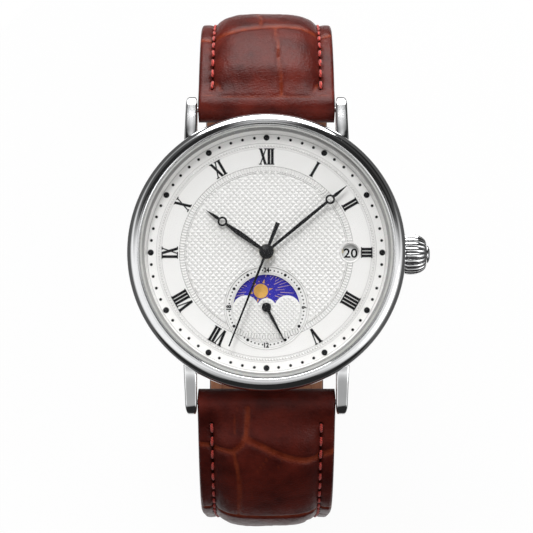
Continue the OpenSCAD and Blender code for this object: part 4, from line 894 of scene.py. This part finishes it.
def hide(name, half, relief, seed):
    """A half's outer leather: crowned and grooved top, plain underside, rolled round the bars."""
    end, across, under = half.length, 56, 9
    fine = steps(0.0, 30, 0.36)
    stations = [-ROLL * cos(radians(a)) for a in (4, 12, 22, 34, 46, 58, 70, 80)] + fine
    stations += steps(fine[-1] + 0.36, end - (BUCKLE_ROLL if half.buckled else 0.4), 0.5)
    if half.buckled:
        stations += [end - BUCKLE_ROLL * 0.6, end - 0.4, end]
        stations += [end + BUCKLE_ROLL * cos(radians(a)) for a in (75, 60, 45, 30, 18, 6)]
    else:
        stations += [end - 0.25, end - 0.1, end]
    rings, depths = [], []
    for s in stations:
        w, ring = half.half_width(s), []
        rolled = s < 0 or s > end
        bar, over = (ROLL, -s) if s < 0 else (BUCKLE_ROLL, s - end)
        if rolled:
            roll = sqrt(max(bar * bar - over * over, 0.01))
            low = -roll
        else:
            low = -INNER - (ROLL - INNER) * (1 - ease((s - 1.1) / 2.1))
            low -= 0.9 * ease((s - end + 4.5) / 4.5) if half.buckled else 0.0
        for i in range(across + 1):
            u = -1 + 2 * i / across
            x = w * copysign(1 - (1 - abs(u)) ** 1.25, u)
            if rolled:
                v, cut = roll * (1 - 0.12 * abs(u) ** 8), 0.0
                v -= 0.02 * wrinkles(x, s, seed) if s < 0 else 0.0
            else:
                cut, edge = relief.groove(x, s), ease((w - abs(x)) / 0.8)
                rough = wrinkles(x, s, seed) * ease(s / 2) - 0.3 * cut * (0.35 + 0.65 * edge)
                v = half.top(s, x) + rough * (0.3 + 0.7 * edge) - 0.35 * relief.hole(x, s)
                v = max(v, -INNER + 0.3)
            ring.append((x, v))
            depths.append(cut)
        ring += [(w * (1 - 2 * i / (under - 1)) * 0.995, low) for i in range(under)]
        depths += [0.0] * under
        rings.append([half.on(s, x, v) for x, v in ring])
    piece = mesh(name, *sweep(rings), LOOKS["strap_leather"])
    mark_grooves(piece, depths)
    outward(piece)
    if half.buckled:
        tongue_slot = [(-1.4, -4.0), (1.4, -4.0), (1.4, 3.0), (-1.4, 3.0)]
        openings = [half.rod(end, PIN_BORE), half.through(end, tongue_slot)]
    else:
        openings = half.holes()
    carve(piece, [half.rod(0, BAR_BORE)] + openings)
    sharpen(piece, 50)
    return piece


def thread_loop(parts, a, b, up, r):
    """A short thread from a to b that rises between them and dips into the leather at its ends."""
    a, b, up = Vector(a), Vector(b), up.normalized()
    side = (b - a).normalized().cross(up).normalized()
    rings = []
    for t in (k / 6 for k in range(7)):
        centre = a.lerp(b, t) + up * (0.16 * sin(pi * t) - 0.07)
        width = r * (0.62 + 0.38 * sin(pi * (0.08 + 0.84 * t)))
        rings.append([tuple(centre + side * x + up * y * 0.8) for x, y in circle(width, 8)])
    parts.add(*sweep(rings))


def stitches(name, half, body):
    """Thread along both margins, on top and, thinner, on the lining."""
    parts, rng = Parts(), random.Random(len(name))
    low = -INNER - LINING_T + 0.06
    for side in (-1, 1):
        for a, b in half.stitches:
            shift = rng.uniform(-0.06, 0.06)
            xa, xb = side * (half.stitch_x(a) - shift), side * (half.stitch_x(b) + shift)
            va, vb = half.top(a, xa) - 0.04, half.top(b, xb) - 0.04
            up = Vector(half.on((a + b) / 2, 0, 1)) - Vector(half.on((a + b) / 2, 0, 0))
            thread_loop(parts, half.on(a + 0.1, xa, va), half.on(b - 0.1, xb, vb), up, 0.24)
            if a > 5:
                thread_loop(parts, half.on(a + 0.1, xa, low), half.on(b - 0.1, xb, low), -up, 0.2)
    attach(parts.piece(name, THREAD), body)


def lining(name, half, body):
    """A half's lining: a sheet with a soft rounded edge, dimpled along the stitches."""
    end = half.length - (5.2 if half.buckled else 0.35)
    rings = []
    for s in steps(3.4, end, 0.8) + [end]:
        w = half.half_width(s) - 0.15
        thick = LINING_T * (0.25 + 0.75 * ease((s - 3.2) / 1.2))
        high, low = -INNER - 0.02, -INNER - thick
        dimple = 0.2 if any(abs(s - m) < 0.45 for pair in half.stitches for m in pair) else 0.1
        ring = [(-w + 0.12, high), (0, high), (w - 0.12, high), (w, high - 0.2 * thick),
                (w, low + 0.3 * thick)]
        right = [(w - 0.25, low + 0.02), (w - MARGIN + 0.5, low), (w - MARGIN + 0.25, low + dimple),
                 (w - MARGIN, low), (w * 0.4, low)]
        ring += right + [(0, low)] + [(-x, v) for x, v in reversed(right)]
        ring += [(-w, low + 0.3 * thick), (-w, high - 0.2 * thick)]
        rings.append([half.on(s, x, v) for x, v in ring])
    piece = mesh(name, *sweep(rings), LOOKS["strap_lining"])
    outward(piece)
    if not half.buckled:
        carve(piece, half.holes())
    sharpen(piece, 50)
    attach(piece, body)
    return piece


def keeper(name, centre, reach, body):
    """A leather band round the strap: crowned faces and rounded edges, swept round a rounded rectangle."""
    wall, width, r, play = 1.1, 4.2, 0.45, 0.15
    x = strap_width(centre - reach - width / 2) / 2 + play - r
    low, high = -INNER - LINING_T - play + r, EDGE_V + padding(centre - reach) + play + 3.2 - r
    corners = [(x, high, 0), (-x, high, 90), (-x, low, 180), (x, low, 270)]
    band = []
    for (cx, cy, a0), (nx, ny, n0) in zip(corners, corners[1:] + corners[:1]):
        for a in (radians(a0 + k * 15) for k in range(7)):
            band.append((cx + r * cos(a), cy + r * sin(a), cos(a), sin(a)))
        px, py, *out = band[-1]
        ex, ey = nx + r * cos(radians(n0)), ny + r * sin(radians(n0))
        band += [(px + (ex - px) * k / 6, py + (ey - py) * k / 6, *out) for k in range(1, 6)]
    # Across the band, and up from its inner face, in shares of its width and of its wall
    left = [(-0.5, 0.0), (-0.5, 0.45), (-0.47, 0.78), (-0.42, 0.95), (-0.36, 0.93), (-0.18, 1.0)]
    section = left + [(-share, t) for share, t in reversed(left)] + [(0.3, 0.0), (-0.3, 0.0)]
    edge_lines = (4, 7)
    rings = []
    for x, v, nx, nv in band:
        swell = 0.04 * noise.noise(Vector((x * 0.3, v * 0.3, centre)))
        swollen = [(centre + share * width, t + swell * (t > 0.5)) for share, t in section]
        rings.append([SHORT.on(s, x + nx * wall * t, v + nv * wall * t) for s, t in swollen])
    piece = mesh(name, *sweep(rings, loop=True), LOOKS["strap_leather"], sharp=70)
    mark_grooves(piece, [0.25 if i in edge_lines else 0.0 for i in range(len(section))] * len(rings))
    outward(piece)
    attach(piece, body)
    return piece


short_hide = hide("strap_short_hide", SHORT, Relief(SHORT, 5), 3.0)
long_hide = hide("strap_long_hide", LONG, Relief(LONG, 11), 8.0)
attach(short_hide, "strap_short")
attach(long_hide, "strap_long")
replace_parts(short_hide, "strap_short_leather")
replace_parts(long_hide, "strap_long_leather")

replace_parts(lining("strap_short_back", SHORT, "strap_short"), "strap_short_lining")
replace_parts(lining("strap_long_back", LONG, "strap_long"), "strap_long_lining")
stitches("stitches_short", SHORT, "strap_short")
stitches("stitches_long", LONG, "strap_long")
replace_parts(keeper("keeper_fixed", SHORT.length - 7.5, 0.0, "strap_short"), "fixed_keeper")
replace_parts(keeper("keeper_free", SHORT.length - 16.5, 4.5, "free_keeper"), "free_keeper")


# Case, bezel, crystal and crown, with finer profiles than the solids

CAVITY_R, TUBE_Z = 17.3, 3.4
LUG_FROM, LUG_TIP, LUG_ROUNDS_FROM = 14.0, 22.95, 0.86


def lug_ring(t, sx, sy):
    """A section of a lug from the case wall, t = 0, to the rounded tip, with rounded edges."""
    y = LUG_FROM + t * (LUG_TIP - LUG_FROM)
    fall, c = ease((t - 0.25) / 0.9), 0.26
    close = 1 - sqrt(1 - (max(t - LUG_ROUNDS_FROM, 0.0) / (1 - LUG_ROUNDS_FROM)) ** 2 * 0.96)
    high = 5.9 - 2.3 * fall - close * 1.1 - c
    low = 1.1 - 0.65 * ease(t / 0.8) + close * 1.1 + c
    inner, outer = 10.0 + close * 0.35 + c, 11.95 - 0.35 * t - close * 0.45 - c
    ring = arc(inner, high, c, 180, 90, 5) + arc(outer, high, c, 90, 0, 5)
    ring += arc(outer, low, c, 0, -90, 5) + arc(inner, low, c, 270, 180, 5)
    return [(sx * x, sy * y, z) for x, z in ring]


def case():
    profile = [(CAVITY_R, 0.9)]
    profile += [(18.9 - 0.45 * (2 * i / 12 - 1) ** 2, 0.9 + 5.1 * i / 12) for i in range(13)]
    profile += [(18.3, 6.0), (18.3, 6.4), (17.9, 6.4), (17.9, 6.0), (CAVITY_R, 6.0)]
    piece = revolve("case_turned", profile, LOOKS["polished_steel"], 180)
    places = [i / 28 for i in range(25)] + [0.88, 0.91, 0.935, 0.955, 0.97, 0.982, 0.992, 1.0]
    lugs = [Parts().add(*sweep([lug_ring(t, sx, sy) for t in places])) for sx in (-1, 1) for sy in (-1, 1)]
    carve(piece, lugs, "UNION")
    cavity = Parts()
    cavity.disc(0, 0, CAVITY_R - 0.01, 0, 8, 180)
    bar_bores = [rod(-10.9, 10.9, side * START[0], START[1], 0.44) for side in (-1, 1)]
    carve(piece, [cavity, rod(10, 25, 0, TUBE_Z, 1.11)] + bar_bores)
    piece.data.shade_smooth()
    sharpen(piece, 32)
    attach(piece, "case")
    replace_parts(piece, "case_middle")


def bezel():
    """Its inner flange, under the crystal, has the dial's colour."""
    seat, shoulder, round_r, round_h = 8.0, 7.2, 1.5, 1.72
    profile = [(17.1, DIAL_TOP), (17.35, DIAL_TOP), (17.35, 6.0), (17.88, 6.0), (17.88, 6.42), (18.32, 6.42),
               (18.32, 6.0), (19.2, 6.0)]
    profile += arc(19.45, 6.55, 0.55, -65, 0, 8)
    profile += [(20.0, 6.9), (20.0, shoulder)]
    profile += [(20.0 - round_r * (1 - cos(radians(a))), shoulder + round_h * sin(radians(a)))
                for a in range(6, 91, 6)]
    profile += [(18.42, 8.94), (18.36, 8.9), (18.15, 8.72), (18.1, 8.66), (18.1, seat), (17.45, seat),
                (17.45, 7.92), (17.4, 7.86), (17.12, DIAL_TOP + 0.1)]
    piece = revolve("bezel_turned", profile, LOOKS["polished_steel"], 200, sharp=25)
    piece.data.materials.append(IVORY)
    for face in piece.data.polygons:
        if face.center.z < (seat + 0.01) * MM and hypot(face.center.x, face.center.y) < 17.8 * MM:
            face.material_index = 1
    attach(piece, "case")
    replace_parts(piece, "bezel")


def crystal():
    r, low, edge, rise, chamfer = 17.8, 8.02, 9.0, 0.45, 0.15
    profile = [(0, low), (r, low), (r, edge - chamfer), (r - 0.05, edge - 0.06)]
    profile += [((r - chamfer) * (1 - i / 14), edge + rise * (1 - (1 - i / 14) ** 2)) for i in range(15)]
    piece = revolve("crystal_domed", profile, LOOKS["crystal_glass"], 128, sharp=25)
    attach(piece, "case")
    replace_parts(piece, "crystal")


def crown():
    """The onion crown with rounded ribs, its recess for the tube and its hollow post."""
    x0, x1, peak, ribs, sides = 19.05, 23.0, 0.42, 20, 12
    post_r, recess_r, foot_r, belly_r, end_r = 0.82, 1.22, 2.05, 2.92, 1.55

    def ring(x, r, depth=0.0):
        points = []
        for i in range(ribs * sides):
            u = 2 * (i % sides) / sides - 1
            a, q = i * tau / (ribs * sides), r - depth * (1 - sqrt(1 - 0.96 * u * u))
            points.append((x, q * cos(a), TUBE_Z + q * sin(a)))
        return points

    rings = [ring(x, r) for x, r in ((20.66, 0.46), (17.5, 0.46), (17.5, post_r), (20.05, post_r),
                                     (20.05, recess_r), (x0, recess_r))]
    for t in (0, 0.05, 0.12, 0.2, 0.3, 0.42, 0.54, 0.65, 0.75, 0.84, 0.91, 0.96, 0.99, 1):
        base, k = (foot_r, (peak - t) / peak) if t < peak else (end_r, (t - peak) / (1 - peak))
        r = base + (belly_r - base) * sqrt(1 - 0.98 * k * k)
        rings.append(ring(x0 + t * (x1 - x0), r, 0.34 * r / belly_r * (0.4 if t > 0.95 else 1)))
    piece = mesh("crown_ribbed", *sweep(rings), LOOKS["polished_steel"])
    outward(piece)
    sharpen(piece, 45)
    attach(piece, "crown")
    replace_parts(piece, "crown")


case()
bezel()
crystal()
crown()


# Studio: a pale floor, soft lamps, and a softly banded surrounding that only metal and glass see

# Azimuth, height, inner and outer angle of each light or dark patch, and how much it adds
REFLECTED = [
    (0, 90, 6, 20, -0.4),
    (0, 79, 5, 16, -0.8),
    (0, 62, 4, 26, -0.3),
    (44, 34, 18, 38, -0.95),
    (39, 60, 6, 19, -0.85),
    (318, 40, 14, 34, -0.93),
    (320, 62, 5, 16, -0.8),
    (180, 45, 5, 32, -0.6),
    (165, 6, 14, 42, -0.95),
    (205, 4, 12, 38, -0.75),
]
WORLD_LIGHT = 0.355


def direction(azimuth, height):
    """A unit direction; azimuth clockwise from 12 o'clock, and height above the dial, in degrees."""
    a, h = radians(azimuth), radians(height)
    return sin(a) * cos(h), cos(a) * cos(h), sin(h)


def surround():
    """The world: even light for matt surfaces, patches for mirrors, and white where the camera sees it."""
    world = bpy.data.worlds.new("studio")
    bpy.context.scene.world = world
    world.use_nodes = True
    g = Nodes(world.node_tree)
    way = g.node("TexCoord").outputs["Generated"]
    up = g.node("SeparateXYZ", Vector=way).outputs["Z"]
    shine = g.remap(up, -0.06, 0.42, 0.1, 1.0, "SMOOTHSTEP")
    for azimuth, height, inner, outer, change in REFLECTED:
        dot = g.node("VectorMath", {"operation": "DOT_PRODUCT"})
        g.feed(dot.inputs[0], way)
        g.feed(dot.inputs[1], direction(azimuth, height))
        patch = g.remap(dot.outputs["Value"], cos(radians(outer)), cos(radians(inner)), how="SMOOTHSTEP")
        shine = g.maths("ADD", shine, g.maths("MULTIPLY", patch, change))
    flat, mirror, white = (g.numbered("Background", (1, 1, 1), strength)
                           for strength in (WORLD_LIGHT, g.maths("MAXIMUM", shine, 0.02), 1.0))
    lit = g.mixed(g.rays("Glossy"), flat, mirror)
    out = g.node("OutputWorld")
    g.feed(out.inputs["Surface"], g.mixed(g.rays("Camera", "Transmission"), lit, white))


def lamp(name, size, power, azimuth, height, distance, mirrored=True):
    """A round lamp that shines at the frame's origin."""
    data = bpy.data.lights.new(name, "AREA")
    data.shape, data.size, data.energy = "DISK", size, power
    piece = add_object(name, data)
    piece.location = distance * Vector(direction(azimuth, height))
    piece.rotation_euler = (-piece.location).to_track_quat("-Z", "Y").to_euler()
    piece.visible_glossy = mirrored


def floor():
    """A disc just under the part: matt to the lamps, and nearly white where it is seen."""
    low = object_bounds()[0][2] / MM - 0.02
    g = Look("floor_white", Roughness=0.9)
    g.feed(g.shader.inputs["Base Color"], g.mix(g.noise(40.0, 2), (0.9, 0.9, 0.9), (0.93, 0.93, 0.93)))
    white = g.node("Emission", Strength=1.0).outputs[0]
    seen = g.maths("MAXIMUM", g.maths("MULTIPLY", g.rays("Glossy"), 0.7), g.rays("Camera", "Transmission"))
    g.feed(g.surface, g.mixed(g.maths("MULTIPLY", seen, 0.95), g.shader.outputs[0], white))
    rim = [(x, y, low) for x, y in circle(60.0, 96)]
    mesh("floor", rim, [tuple(range(len(rim)))], g.material, smooth=False)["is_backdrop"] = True


surround()
lamp("key", 0.26, 2.3, 345, 54, 0.7, mirrored=False)
lamp("fill", 0.45, 0.9, 110, 40, 0.8)
lamp("low", 0.62, 4.2, 0, 7, 0.6)
floor()
bpy.context.scene.view_settings.view_transform = "Standard"
